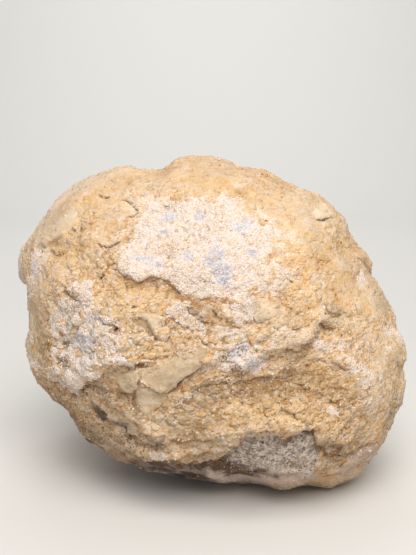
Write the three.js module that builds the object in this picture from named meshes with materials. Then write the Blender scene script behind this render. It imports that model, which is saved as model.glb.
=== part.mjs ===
// A whole, unopened geode: one rough nodule about 100 mm across, in one solid.
//
// Frame: millimetres, +Z up. The stone rests on a small flat spot in the plane z = 0, and +Y runs away from
// its front. The origin is on that plane, under the middle of the stone's box.
//
// The form is built in four steps. A front outline and two depths give a rounded block. Flats and chips
// break the block into facets. Lumps, hollows and ledges are laid on it from six sides. Noise roughens it.

import * as THREE from "three";
import { ImprovedNoise } from "three/addons/math/ImprovedNoise.js";
import { mergeVertices } from "three/addons/utils/BufferGeometryUtils.js";

// ---------------------------------------------------------------- driving dimensions

const MIDDLE_HEIGHT = 40.4; // the stone's middle above the surface that it rests on
const FRONT_DEPTH = 39; // from the middle to the foremost skin
const BACK_DEPTH = 43; // from the middle to the rearmost skin
const FULLNESS = 2.3; // 2 gives elliptical flanks, more gives squarer ones
const MESH_DETAIL = 20; // each edge of the starting icosahedron is cut into one more part than this

// The outline of the stone's middle section, seen from the front and a little above: right, up.
const OUTLINE = [
  [-28, 40.1], [-20.7, 42.3], [-17.6, 40.7], [-12.4, 40.8], [-8.5, 43.6], [-3.6, 44.1], [2, 44.1],
  [7.5, 40.9], [12.5, 39.1], [18.4, 36.2], [26.3, 34.3], [31.1, 32.4], [34.8, 27.5], [35.4, 23.7],
  [39.5, 17.6], [44.3, 9.9], [47.3, 2.3], [50, -4.8], [51.8, -6.3], [49.3, -9.9], [50.4, -18.3],
  [47.3, -25.1], [44.5, -29.7], [40.1, -36.5], [35, -41.9], [25.4, -41.9], [19.8, -42.8],
  [9.2, -40.3], [0.6, -41], [-6.4, -40.6], [-17, -39.2], [-24.6, -35.7], [-32.1, -30.8],
  [-35.8, -25.9], [-41, -21], [-47.9, -14], [-48.1, -8.9], [-47.8, 2.2], [-49.5, 10],
  [-51.7, 16.2], [-49.4, 21.8], [-44.4, 27.6], [-39.5, 34], [-32, 38.8],
];

const CURVE_STEPS = 12; // rays drawn for each point of the outline
const MERGE_GAP = 1e-4; // points of the starting ball this near are one point

// ---------------------------------------------------------------- the six sides

const MIDDLE = new THREE.Vector3(0, 0, MIDDLE_HEIGHT);
const FRONT_PITCH = 11; // degrees that the front is looked down on
const EYE_DISTANCE = 210; // from the eye to the plate through the stone's middle
const EYE_SHIFT = [-1.1, 12.1]; // where the eye stands over that plate: right, up

// A side is a flat plate through the stone's middle. A point of the skin is named by where the line from
// the eye to it crosses the plate, in millimetres right and up of the middle.
function side(azimuth, elevation, distance = EYE_DISTANCE, shift = [0, 0]) {
  const a = THREE.MathUtils.degToRad(azimuth);
  const e = THREE.MathUtils.degToRad(elevation);
  const right = new THREE.Vector3(Math.cos(a), Math.sin(a), 0);
  const up = new THREE.Vector3(-Math.sin(a) * Math.sin(e), Math.cos(a) * Math.sin(e), Math.cos(e));
  const out = right.clone().cross(up);
  return { right, up, out, distance, shift };
}

const FRONT = side(0, FRONT_PITCH, EYE_DISTANCE, EYE_SHIFT);
const BACK = side(180, 8);
const LEFT = side(-90, 10);
const RIGHT = side(90, 10);
const TOP = side(0, 80);
const UNDER = side(0, -80);

// Where a point shows on a side's plate: right, up, and its height above the plate.
function onPlate(from, point) {
  const p = point.clone().sub(MIDDLE);
  const height = p.dot(from.out);
  const spread = from.distance / (from.distance - height);
  const [x0, y0] = from.shift;
  return [x0 + (p.dot(from.right) - x0) * spread, y0 + (p.dot(from.up) - y0) * spread, height];
}

const smooth = (low, high, x) => THREE.MathUtils.smoothstep(x, low, high);

// 1 where the skin faces the side, falling to 0 where it turns away.
const TURNED_AWAY = 0.05;
const FACING = 0.4;
const faces = (from, normal) => smooth(TURNED_AWAY, FACING, normal.dot(from.out));

// ---------------------------------------------------------------- the rounded block

function outlineRadii() {
  const points = OUTLINE.map(([x, y]) => new THREE.Vector3(x, y, 0));
  const curve = new THREE.CatmullRomCurve3(points, true, "centripetal");
  const rays = curve.getPoints(OUTLINE.length * CURVE_STEPS).slice(1);
  const polar = rays.map((p) => [Math.atan2(p.y, p.x), Math.hypot(p.x, p.y)]);
  return polar.sort((a, b) => a[0] - b[0]);
}

const RADII = outlineRadii();

function outlineRadius(angle) {
  const next = RADII.findIndex(([a]) => a >= angle);
  const [a1, r1] = RADII[next < 0 ? 0 : next];
  const [a0, r0] = RADII.at(next <= 0 ? -1 : next - 1);
  const turn = 2 * Math.PI;
  const span = (a1 - a0 + turn) % turn;
  return span ? r0 + ((r1 - r0) * ((angle - a0 + turn) % turn)) / span : r0;
}

// The skin of the block in a direction from the middle. An eye that near sees past the middle section, so
// the section is a little smaller than the outline that it shows.
function blockPoint(direction) {
  const along = direction.dot(FRONT.out);
  const x = direction.dot(FRONT.right);
  const y = direction.dot(FRONT.up);
  const depth = along > 0 ? FRONT_DEPTH : BACK_DEPTH;
  const shown = Math.sqrt(1 - (FRONT_DEPTH / EYE_DISTANCE) ** 2);
  const section = outlineRadius(Math.atan2(y, x)) * shown;
  const sum = (Math.hypot(x, y) / section) ** FULLNESS + (Math.abs(along) / depth) ** FULLNESS;
  return direction.clone().multiplyScalar(sum ** (-1 / FULLNESS));
}

// ---------------------------------------------------------------- flats and chips

// Broad flats: the way each faces (azimuth, elevation) and how deep it cuts into the block.
const FLATS = [
  { azimuth: -6, elevation: 50, depth: 2.6 },
  { azimuth: -52, elevation: 6, depth: 2.2 },
  { azimuth: 47, elevation: 22, depth: 2.4 },
  { azimuth: 30, elevation: -38, depth: 1.6 },
  { azimuth: 96, elevation: 10, depth: 2 },
  { azimuth: 150, elevation: 36, depth: 2.8 },
  { azimuth: 196, elevation: -6, depth: 2.4 },
  { azimuth: 238, elevation: 32, depth: 2.6 },
  { azimuth: 262, elevation: -22, depth: 2.2 },
  { azimuth: 140, elevation: -34, depth: 2.6 },
  { azimuth: 180, elevation: 48, depth: 3 },
  { azimuth: 186, elevation: -38, depth: 3 },
  { azimuth: 10, elevation: 84, depth: 1.6 },
];
const FLAT_FIRMNESS = 0.8; // how much of what stands past a flat is taken away
const CHIPS = 90;
const CHIP_DEPTH = [0.3, 1.1];
const GOLDEN_ANGLE = Math.PI * (3 - Math.sqrt(5));

function flatCuts() {
  return FLATS.map(({ azimuth, elevation, depth }) => ({ out: side(azimuth, elevation).out, depth }));
}

// A number from 0 to 1 that looks random and is the same for the same seed.
function chance(seed) {
  const x = Math.sin(seed * 127.1 + 311.7) * 43758.5453;
  return x - Math.floor(x);
}

// Small chips all round, spread evenly by the golden angle and cut to uneven depths.
function chipCuts() {
  return Array.from({ length: CHIPS }, (_, i) => {
    const z = 1 - (2 * i + 1) / CHIPS;
    const turn = i * GOLDEN_ANGLE;
    const flat = Math.sqrt(1 - z * z);
    const out = new THREE.Vector3(Math.cos(turn) * flat, Math.sin(turn) * flat, z);
    return { out, depth: THREE.MathUtils.lerp(...CHIP_DEPTH, chance(i)) };
  });
}

// Presses the points that stand past each cut's plane back towards it.
function cutBack(points, cuts) {
  for (const { out, depth } of cuts) {
    const reach = Math.max(...points.map((p) => p.dot(out))) - depth;
    for (const p of points) {
      const past = p.dot(out) - reach;
      if (past > 0) p.addScaledVector(out, -past * FLAT_FIRMNESS);
    }
  }
}

// ---------------------------------------------------------------- lumps, hollows and ledges

// A lump stands up by its height, or a hollow goes down where that is negative. size is half its length
// and half its width, and turn is in degrees from the plate's right.
const LUMPS = [
  { on: FRONT, at: [-2, 41], size: [11, 5], turn: -6, height: 0.8 }, // knob on the crown
  { on: FRONT, at: [50, -6], size: [5, 4], turn: 0, height: 0.8 }, // point on the right edge
  { on: FRONT, at: [-14, 7.5], size: [9, 3], turn: -12, height: -1.1 }, // under the white plateau
  { on: FRONT, at: [12, -16.5], size: [19, 5], turn: 8, height: -2.4 }, // long shaded hollow
  { on: FRONT, at: [-18, -23], size: [6, 4.5], turn: -35, height: -1 }, // clay plate under the flake
  { on: FRONT, at: [2, 1], size: [9, 4], turn: -20, height: 1 }, // swelling above the brow
  { on: FRONT, at: [18, -26], size: [16, 4], turn: 6, height: 1.2 }, // lit swelling of the lower face
  { on: FRONT, at: [-33, 1], size: [11, 9], turn: -20, height: 0.8 }, // left crystal crust
  { on: FRONT, at: [-38, -6.5], size: [3.5, 3], turn: 30, height: -1.3 }, // pit in it
  { on: FRONT, at: [-37, 14], size: [6, 6], turn: 0, height: -1.2 }, // rough recess on the left
  { on: FRONT, at: [38, -13], size: [7, 4], turn: -30, height: 1 },
  { on: FRONT, at: [28, -14], size: [4, 6], turn: 20, height: -1 },
  { on: FRONT, at: [-30, -24], size: [9, 2.5], turn: -45, height: -1.2 }, // dark groove, lower left
  { on: BACK, at: [8, 22], size: [12, 7], turn: 10, height: -2 },
  { on: BACK, at: [-20, 25], size: [11, 7], turn: -20, height: 1.4 },
  { on: BACK, at: [-26, -6], size: [9, 6], turn: 30, height: -1.6 },
  { on: BACK, at: [20, -12], size: [13, 7], turn: -10, height: 1.6 },
  { on: LEFT, at: [14, 10], size: [10, 7], turn: 25, height: -1.5 },
  { on: LEFT, at: [-2, -16], size: [12, 6], turn: -10, height: 1.3 },
  { on: RIGHT, at: [4, 14], size: [12, 6], turn: -20, height: 1.3 },
  { on: RIGHT, at: [-2, -8], size: [9, 6], turn: 10, height: -1.6 },
  { on: RIGHT, at: [20, -16], size: [10, 7], turn: 0, height: 1.2 },
  { on: TOP, at: [16, 12], size: [11, 8], turn: 30, height: 1.2 },
  { on: TOP, at: [-20, 8], size: [10, 6], turn: -15, height: -1.2 },
  { on: UNDER, at: [-26, 4], size: [9, 8], turn: 0, height: -1.4 },
];

// A ledge is a broken edge. The skin stands proud on its upper side, which is to the left of the way its
// line runs, by rise at the edge, and lies back on its lower side by drop. Both fade over their reach.
const LEDGES = [
  {
    on: FRONT, rise: 0.6, reach: 8, drop: 0.9, below: 5, // lower rim of the white plateau
    line: [[-26.6, 18.1], [-23.9, 14.6], [-20.5, 11.2], [-16.5, 12.2], [-13, 12.8], [-10.1, 9.8],
      [-6.4, 6.9], [-1.9, 6.1], [2.7, 6.1], [8.2, 3.5], [11.7, 6.1]],
  },
  {
    on: FRONT, rise: 0.6, reach: 6, drop: 1.1, below: 7, // clay flake and the brow right of it
    line: [[-26, -19.5], [-22.3, -15.7], [-19.9, -17.3], [-17, -18.1], [-13.8, -18.6], [-10.6, -16.2],
      [-7.2, -14.1], [-3.2, -10.9], [3.5, -9], [8.8, -7.9]],
  },
  {
    on: FRONT, rise: 0.9, reach: 7, drop: 1.6, below: 9, // brow over the long hollow
    line: [[3.5, -14], [10.1, -11.4], [14.9, -9.3], [19.4, -7.7], [23.9, -5.9], [26.6, -2.7],
      [29, 0.3], [31.1, 3.2]],
  },
  {
    on: FRONT, rise: 1.2, reach: 7, drop: 2.2, below: 7, // rim over the grey crust at the bottom
    line: [[-24.5, -34.3], [-16.5, -35.9], [-8.5, -35.9], [-1.9, -35.1], [2.7, -33.8], [6.4, -31.9],
      [7.4, -29.5], [13.3, -29], [18.9, -30.1], [23.4, -28.5], [26.6, -27.9], [28.2, -31.1],
      [32.7, -32.7], [37.2, -31.1], [40.7, -29]],
  },
  {
    on: FRONT, rise: 0.8, reach: 6, drop: 1.2, below: 6, // lower rim of the left crystal crust
    line: [[-46.8, -13], [-42.6, -13.8], [-40.4, -15.7], [-36.4, -18.4], [-33.8, -16.5],
      [-29.8, -13], [-26.6, -10.6], [-22.6, -10.9], [-19.4, -11.7]],
  },
  {
    on: FRONT, rise: 0.8, reach: 3.5, drop: 1.5, below: 4, // clay layer, lower left
    line: [[-31.1, -18.4], [-26.6, -22.6], [-22.3, -27.1], [-16.5, -31.1], [-9.8, -33.2]],
  },
  {
    on: FRONT, rise: 0.7, reach: 6, drop: 1.5, below: 5, // edge of the smooth rind, upper left
    line: [[-47.5, 18.9], [-44.4, 20.5], [-41, 20.7], [-37.8, 21.3], [-34, 23]],
  },
  {
    on: BACK, rise: 0.9, reach: 7, drop: 1.3, below: 6,
    line: [[-30, 14], [-25, 8], [-19, 7], [-15, 1], [-9, -1], [-7, -5], [0, -6], [5, -11], [13, -12]],
  },
  {
    on: BACK, rise: 0.8, reach: 5, drop: 1.1, below: 5,
    line: [[4, 24], [9, 19], [16, 18], [19, 13], [27, 12], [32, 7]],
  },
  {
    on: BACK, rise: 0.7, reach: 5, drop: 1, below: 5,
    line: [[-24, -22], [-17, -25], [-10, -22], [-4, -26], [3, -25]],
  },
  {
    on: LEFT, rise: 0.8, reach: 6, drop: 1.1, below: 5,
    line: [[-26, -6], [-21, -2], [-17, -4], [-13, 2], [-6, 3], [-4, 0.5], [2, 4], [6, 9], [12, 8]],
  },
  {
    on: LEFT, rise: 0.6, reach: 4, drop: 0.9, below: 4,
    line: [[-10, -24], [-4, -20], [3, -22], [6, -18], [13, -19]],
  },
  {
    on: RIGHT, rise: 0.8, reach: 6, drop: 1.1, below: 6,
    line: [[-22, 19], [-17, 15.5], [-14, 16.5], [-9, 10], [-5, 9], [-3, 11], [2, 6], [5, -1], [11, -3],
      [13, -8], [20, -9.5]],
  },
  {
    on: RIGHT, rise: 0.6, reach: 4, drop: 0.9, below: 4,
    line: [[0, -22], [6, -17], [12, -19], [16, -15], [24, -16]],
  },
  {
    on: TOP, rise: 0.7, reach: 5, drop: 0.9, below: 4,
    line: [[26, 12], [19, 18], [13, 16], [7, 22], [-2, 21], [-7, 25]],
  },
  {
    on: TOP, rise: 0.5, reach: 4, drop: 0.7, below: 4,
    line: [[-14, 4], [-20, 7], [-25, 3], [-33, 5]],
  },
];
const LEDGE_TAPER = 5; // length over which a ledge dies away at each end
const GATHER_REACH = 4; // points this near an edge are drawn towards it, which sharpens it
const GATHER_POWER = 0.6;

function lumpHeight(lump, [x, y]) {
  const turn = THREE.MathUtils.degToRad(lump.turn);
  const dx = x - lump.at[0];
  const dy = y - lump.at[1];
  const along = (dx * Math.cos(turn) + dy * Math.sin(turn)) / lump.size[0];
  const across = (dy * Math.cos(turn) - dx * Math.sin(turn)) / lump.size[1];
  return lump.height * Math.exp(-(along * along + across * across));
}

// Where a plate point lies by a ledge's line: how far off it is, positive on its upper side, the way
// towards that side, and how strong the ledge is there.
function byLedge(line, x, y) {
  let best = { gap: Infinity };
  let before = 0;
  for (let i = 1; i < line.length; i++) {
    const [x0, y0] = line[i - 1];
    const [x1, y1] = line[i];
    const length = Math.hypot(x1 - x0, y1 - y0);
    const t = ((x - x0) * (x1 - x0) + (y - y0) * (y1 - y0)) / length;
    const on = THREE.MathUtils.clamp(t, 0, length);
    const nearest = [x0 + ((x1 - x0) * on) / length, y0 + ((y1 - y0) * on) / length];
    const gap = Math.hypot(x - nearest[0], y - nearest[1]);
    if (gap < best.gap) {
      const left = (x1 - x0) * (y - y0) - (y1 - y0) * (x - x0) >= 0 ? 1 : -1;
      const way = [(y0 - y1) / length, (x1 - x0) / length];
      best = { gap, off: gap * left, along: before + on, way };
    }
    before += length;
  }
  const fromEnd = Math.min(best.along, before - best.along);
  return { off: best.off, way: best.way, strength: smooth(0, LEDGE_TAPER, fromEnd) };
}

function ledgeHeight(ledge, [x, y]) {
  const { off, strength } = byLedge(ledge.line, x, y);
  const above = ledge.rise * Math.exp(-off / ledge.reach);
  const below = -ledge.drop * Math.exp(off / ledge.below);
  return (off > 0 ? above : below) * strength;
}

// Draws a point along the skin towards the ledges near it.
function gather(point, normal) {
  for (const { on, line } of LEDGES) {
    const facing = faces(on, normal);
    if (!facing) continue;
    const [x, y] = onPlate(on, point);
    const { off, way, strength } = byLedge(line, x, y);
    const gap = Math.abs(off);
    if (gap >= GATHER_REACH) continue;
    const nearer = gap * (gap / GATHER_REACH) ** GATHER_POWER;
    const pull = Math.sign(off) * (nearer - gap) * strength * facing;
    point.addScaledVector(on.right, way[0] * pull).addScaledVector(on.up, way[1] * pull);
  }
}

// ---------------------------------------------------------------- roughness

const NOISE = new ImprovedNoise();
const ROUGHNESS = [
  { size: 23, height: 1.2 },
  { size: 11, height: 0.9 },
  { size: 6, height: 0.75 },
];
const LAYER_SHIFT = 17.3; // sets each layer's pattern apart from the last one's

function roughness(p) {
  const layers = ROUGHNESS.map(({ size, height }, i) => {
    const shift = LAYER_SHIFT * i;
    return height * NOISE.noise(p.x / size + shift, p.y / size, p.z / size - shift);
  });
  return layers.reduce((sum, h) => sum + h, 0);
}

// ---------------------------------------------------------------- the stone

const FOOT = { at: [11.5, 1], size: [21, 15] }; // the resting spot: its centre and half its length and width

// Lets nothing reach below z = 0 and presses the resting spot flat onto it.
function setDown(p) {
  const off = Math.hypot((p.x - FOOT.at[0]) / FOOT.size[0], (p.y - FOOT.at[1]) / FOOT.size[1]);
  const low = p.z < MIDDLE_HEIGHT / 2;
  if (low && off < 1) p.z = 0;
  p.z = Math.max(p.z, 0);
}

function normalsOf(points, index) {
  const geometry = new THREE.BufferGeometry().setFromPoints(points).setIndex(index);
  geometry.computeVertexNormals();
  const normals = geometry.getAttribute("normal");
  return points.map((_, i) => new THREE.Vector3().fromBufferAttribute(normals, i));
}

function stoneGeometry() {
  const start = new THREE.IcosahedronGeometry(1, MESH_DETAIL);
  start.deleteAttribute("normal");
  start.deleteAttribute("uv");
  const ball = mergeVertices(start, MERGE_GAP);
  const directions = ball.getAttribute("position");
  const index = [...ball.index.array];
  const points = Array.from({ length: directions.count }, (_, i) =>
    blockPoint(new THREE.Vector3().fromBufferAttribute(directions, i).normalize()));
  cutBack(points, flatCuts());
  cutBack(points, chipCuts());
  for (const p of points) p.add(MIDDLE);

  const normals = normalsOf(points, index);
  points.forEach((p, i) => gather(p, normals[i]));
  const heights = points.map((p, i) => {
    const relief = (item, height) => faces(item.on, normals[i]) * height(item, onPlate(item.on, p));
    const lumps = LUMPS.reduce((sum, lump) => sum + relief(lump, lumpHeight), 0);
    const ledges = LEDGES.reduce((sum, ledge) => sum + relief(ledge, ledgeHeight), 0);
    return lumps + ledges + roughness(p);
  });
  points.forEach((p, i) => p.addScaledVector(normals[i], heights[i]));
  points.forEach(setDown);
  const geometry = new THREE.BufferGeometry().setFromPoints(points).setIndex(index);
  geometry.computeVertexNormals();
  geometry.computeBoundingBox();
  return geometry;
}

const OCHRE = new THREE.MeshStandardMaterial({ color: 0xd9b48a, roughness: 0.92, metalness: 0 });

const geode = new THREE.Mesh(stoneGeometry(), OCHRE);
geode.name = "geode";
const centre = geode.geometry.boundingBox.getCenter(new THREE.Vector3());
geode.position.set(-centre.x, -centre.y, 0);

const part = new THREE.Group();
part.add(geode);
export default part;
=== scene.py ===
"""A whole, unopened geode: a rough nodule of ochre rind with sugary quartz crusts. In metres, +Z up."""

import bpy
import numpy as np
from mathutils import Matrix, Vector
from mathutils.bvhtree import BVHTree


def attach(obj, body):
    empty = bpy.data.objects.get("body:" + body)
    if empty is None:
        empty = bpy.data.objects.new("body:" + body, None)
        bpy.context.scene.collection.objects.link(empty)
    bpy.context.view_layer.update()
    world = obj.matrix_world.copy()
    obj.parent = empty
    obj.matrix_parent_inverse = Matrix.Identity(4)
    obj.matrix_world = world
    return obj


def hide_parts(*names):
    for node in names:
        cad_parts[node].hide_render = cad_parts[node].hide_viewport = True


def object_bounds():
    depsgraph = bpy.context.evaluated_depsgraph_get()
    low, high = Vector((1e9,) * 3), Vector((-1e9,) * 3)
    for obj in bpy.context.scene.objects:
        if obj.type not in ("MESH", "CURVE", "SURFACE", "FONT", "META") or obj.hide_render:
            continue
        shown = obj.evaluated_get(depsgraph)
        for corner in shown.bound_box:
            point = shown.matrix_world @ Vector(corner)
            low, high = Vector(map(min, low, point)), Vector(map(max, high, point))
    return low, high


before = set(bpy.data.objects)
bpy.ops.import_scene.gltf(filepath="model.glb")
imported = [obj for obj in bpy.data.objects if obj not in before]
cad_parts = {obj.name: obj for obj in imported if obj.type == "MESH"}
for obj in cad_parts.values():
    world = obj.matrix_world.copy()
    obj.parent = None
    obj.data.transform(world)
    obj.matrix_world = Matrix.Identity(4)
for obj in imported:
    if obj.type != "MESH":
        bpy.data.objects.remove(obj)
cad_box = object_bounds()

# ---------------------------------------------------------------- sizes

MM = 0.001
VIEW = (416, 555)  # the camera's picture, in pixels
VIEW_MIDDLE = (212, 323)  # where the stone's middle shows in it
VIEW_SCALE = 3.76  # its pixels for each millimetre at the stone's middle
VIEW_PITCH = 11  # degrees that the camera looks down
EYE_DISTANCE = 210  # millimetres from the eye to the plate through the stone's middle
EYE_SHIFT = (-1.1, 12.1)  # where the eye stands over that plate: right, up
MIDDLE = np.array([0.7, -1.5, 40.4])  # the stone's middle, in millimetres
HALVES = np.array([50, 43, 43])  # half its width, depth and height
SKIN_DIVISIONS = 3  # how often the plain skin is divided before it is carved
SKIN_TRIANGLES = 198_000  # what is left of it after it is thinned out
LAYER_STRETCH = np.array([0.6, 0.6, 1.3])  # flaking layers run longer sideways than up
FIBRES = np.array([0.74, 0.2, 0.64])  # the way that the fibrous rind runs
FIBRE_TURN = (0, -0.7, 0.26)  # the same way, as angles in radians
FIBRE_STRETCH = 0.75  # from 0 for a pattern as long as it is wide to 1 for endless fibres
FOOT_EASE = (0.2, 2.5)  # heights in millimetres over which the carving fades in above the resting spot
LEDGE_TAPER = 4  # millimetres over which a ledge fades out at its ends
EDGE_WIDTH = 0.3  # half the width of a ledge's slope
PLATE_FIRMNESS = 0.7  # how fully a clay plate is pressed to its own face
CRACK_DEPTH = 0.6  # the depth at which a crack is fully dark
FINE_HOLLOW_ROUNDS = 6  # how often the skin is evened out to find its fine hollows
RECESS_ROUNDS = 40  # and how often more to find its broad ones
FINE_HOLLOW_GAIN = 1.6  # how strongly the depth of fine hollows shows
RECESS_GAIN = 0.5  # and that of broad ones
NUMBERS = 4096  # how many arrows, seats and chances the noise picks from, a power of two


# ---------------------------------------------------------------- noise


DRAW = np.random.default_rng(41)
ARROWS = DRAW.normal(size=(NUMBERS, 3))
ARROWS /= np.linalg.norm(ARROWS, axis=1, keepdims=True)
SEATS = DRAW.uniform(0.12, 0.88, size=(NUMBERS, 3))
CHANCES = DRAW.uniform(size=NUMBERS)


def smooth(low, high, x):
    """Climbs softly from 0 to 1 as x goes from low to high."""
    t = np.clip((x - low) / (high - low), 0, 1)
    return t * t * (3 - 2 * t)


def shuffled(cells, seed):
    """A number under NUMBERS for each whole-numbered cell, the same every time."""
    mixed = cells[..., 0] * 374761393 + cells[..., 1] * 668265263
    mixed += cells[..., 2] * 1442695041 + seed * 974634777
    mixed = (mixed ^ (mixed >> 13)) * 1274126177
    return (mixed ^ (mixed >> 16)) & (NUMBERS - 1)


def noise(p, size, seed):
    """Soft hills and hollows about size apart, from about -1 to 1."""
    q = p / size
    cell = np.floor(q).astype(np.int64)
    part = q - cell
    ease = part ** 3 * (part * (part * 6 - 15) + 10)
    total = np.zeros(len(p))
    for corner in np.ndindex(2, 2, 2):
        slope = ((part - corner) * ARROWS[shuffled(cell + corner, seed)]).sum(1)
        total += slope * np.where(corner, ease, 1 - ease).prod(1)
    return total * 1.7


def rough(p, size, seed, layers=3):
    """Noise with finer noise on it."""
    return sum(noise(p, size / 2.1 ** i, seed + i) / 1.9 ** i for i in range(layers)) / 1.6


def seats_near(p, size, seed):
    """Space broken into uneven lumps about size across. For each of the 27 lumps that may be the nearest to
    a point: its number, and how far the point is from its middle along each axis, as a share of the size."""
    q = p / size
    home = np.floor(q).astype(np.int64)
    for step in np.ndindex(3, 3, 3):
        cell = home + step - 1
        number = shuffled(cell, seed)
        yield number, q - cell - SEATS[number]


def lumps(p, size, seed):
    """How far each point is from the middle of its own lump, as a share of the size, and its number."""
    near = np.full(len(p), 9.0)
    own = np.zeros(len(p), np.int64)
    for number, off in seats_near(p, size, seed):
        gap = np.sqrt((off * off).sum(1))
        own = np.where(gap < near, number, own)
        near = np.minimum(near, gap)
    return near, own


def scallops(p, size, seed, tilt=0.45):
    """Shallow scars of broken chips, each tilted its own way, with sharp ridges between them, from about
    -1 to 1."""
    low = np.full(len(p), 9.0)
    for number, off in seats_near(p, size, seed):
        bowl = ((off + tilt * ARROWS[number]) * off).sum(1)
        low = np.minimum(low, bowl + 0.3 * CHANCES[number])
    return 2.6 * low - 1


def flakes(p, size, layers, seed):
    """Thin layers broken away along uneven lines, so that the height climbs in sharp steps, from about
    -1 to 1."""
    field = noise(p, size, seed) + 0.4 * noise(p, size / 3, seed + 1) + 0.2 * noise(p, size / 8, seed + 2)
    field = layers * field
    whole = np.floor(field)
    return (whole + smooth(0, 0.22, field - whole)) / layers


def torn(p, size, seed):
    """Uneven ground with sharp valleys and finer ground on it, from about -1 to 1."""
    total = 0
    for layer in range(3):
        total += (2 * np.abs(noise(p, size / 2 ** layer, seed + layer)) - 0.6) / 1.7 ** layer
    return total / 1.4


# ---------------------------------------------------------------- the six sides


class Side:
    """A flat plate through the stone's middle. A point of the skin is named by where the line from the eye
    to it crosses the plate, in millimetres right and up of the middle."""

    def __init__(self, azimuth, elevation, shift=(0, 0)):
        a, e = np.radians([azimuth, elevation])
        self.right = np.array([np.cos(a), np.sin(a), 0])
        self.up = np.array([-np.sin(a) * np.sin(e), np.cos(a) * np.sin(e), np.cos(e)])
        self.out = np.cross(self.right, self.up)
        self.shift = shift

    def plate(self, p):
        """The plate spots of points in millimetres."""
        q = p - MIDDLE
        spread = EYE_DISTANCE / (EYE_DISTANCE - q @ self.out)
        x0, y0 = self.shift
        return np.stack([x0 + (q @ self.right - x0) * spread, y0 + (q @ self.up - y0) * spread], 1)

    def facing(self, normals):
        """How fully skin that faces these ways belongs to this side, from 0 to 1."""
        return smooth(0.02, 0.3, normals @ self.out)


FRONT = Side(0, VIEW_PITCH, EYE_SHIFT)
BACK = Side(180, 8)
LEFT = Side(-90, 10)
RIGHT = Side(90, 10)
TOP = Side(0, 80)
UNDER = Side(0, -80)
SIDES = (FRONT, BACK, LEFT, RIGHT, TOP, UNDER)


def on_plate(side, x, y):
    """A place from the tables, in millimetres on its side's plate."""
    if side is not FRONT:
        return x, y
    return (x - VIEW_MIDDLE[0]) / VIEW_SCALE, (VIEW_MIDDLE[1] - y) / VIEW_SCALE


def drawn(table):
    """Each entry of a table of lines and outlines: its side, what it says, and its line on the plate."""
    for side, entries in table.items():
        for *says, line in entries:
            yield side, *says, [on_plate(side, *corner) for corner in line]


def ovals(table):
    """Each entry of a table of ovals: its side, its place on the plate, its half length and width, its turn,
    and its strength or height."""
    for side, entries in table.items():
        for x, y, half_length, half_width, turn, strength in entries:
            yield side, on_plate(side, x, y), (half_length, half_width), turn, strength


def by_line(spots, line, closed=False):
    """For each plate spot: how far it is from the line, positive on the line's left, and how far along the
    line it is from the nearer end."""
    corners = np.array(line + line[:1] if closed else line, float)
    best = np.full(len(spots), 1e9)
    off = best.copy()
    along = np.zeros(len(spots))
    before = 0
    for start, end in zip(corners[:-1], corners[1:]):
        way = end - start
        length = np.hypot(*way)
        way = way / length
        q = spots - start
        t = np.clip(q @ way, 0, length)
        gap = np.hypot(*(q - t[:, None] * way).T)
        side = np.where(way[0] * q[:, 1] - way[1] * q[:, 0] >= 0, 1, -1)
        closer = gap < best
        best = np.where(closer, gap, best)
        off = np.where(closer, gap * side, off)
        along = np.where(closer, before + t, along)
        before += length
    return off, np.minimum(along, before - along)


def inside(spots, outline):
    """How far each plate spot lies inside a closed outline, negative outside it."""
    crossings = np.zeros(len(spots), bool)
    x, y = spots.T
    for (x0, y0), (x1, y1) in zip(outline, outline[1:] + outline[:1]):
        if y0 != y1:
            crossings ^= ((y0 > y) != (y1 > y)) & (x < x0 + (y - y0) * (x1 - x0) / (y1 - y0))
    gap = np.abs(by_line(spots, outline, closed=True)[0])
    return np.where(crossings, gap, -gap)


def spot(spots, at, size, turn):
    """How strongly each plate spot lies in an oval, from 0 to 1."""
    t = np.radians(turn)
    d = spots - at
    along = (d[:, 0] * np.cos(t) + d[:, 1] * np.sin(t)) / size[0]
    across = (d[:, 1] * np.cos(t) - d[:, 0] * np.sin(t)) / size[1]
    return np.exp(-(along ** 2 + across ** 2))


# ---------------------------------------------------------------- what lies where

# Every table is by side. Lengths are in millimetres and turns in degrees. Places are in millimetres on the
# side's plate, right and up of the middle, but the front's are in pixels of the camera's picture.

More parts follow.
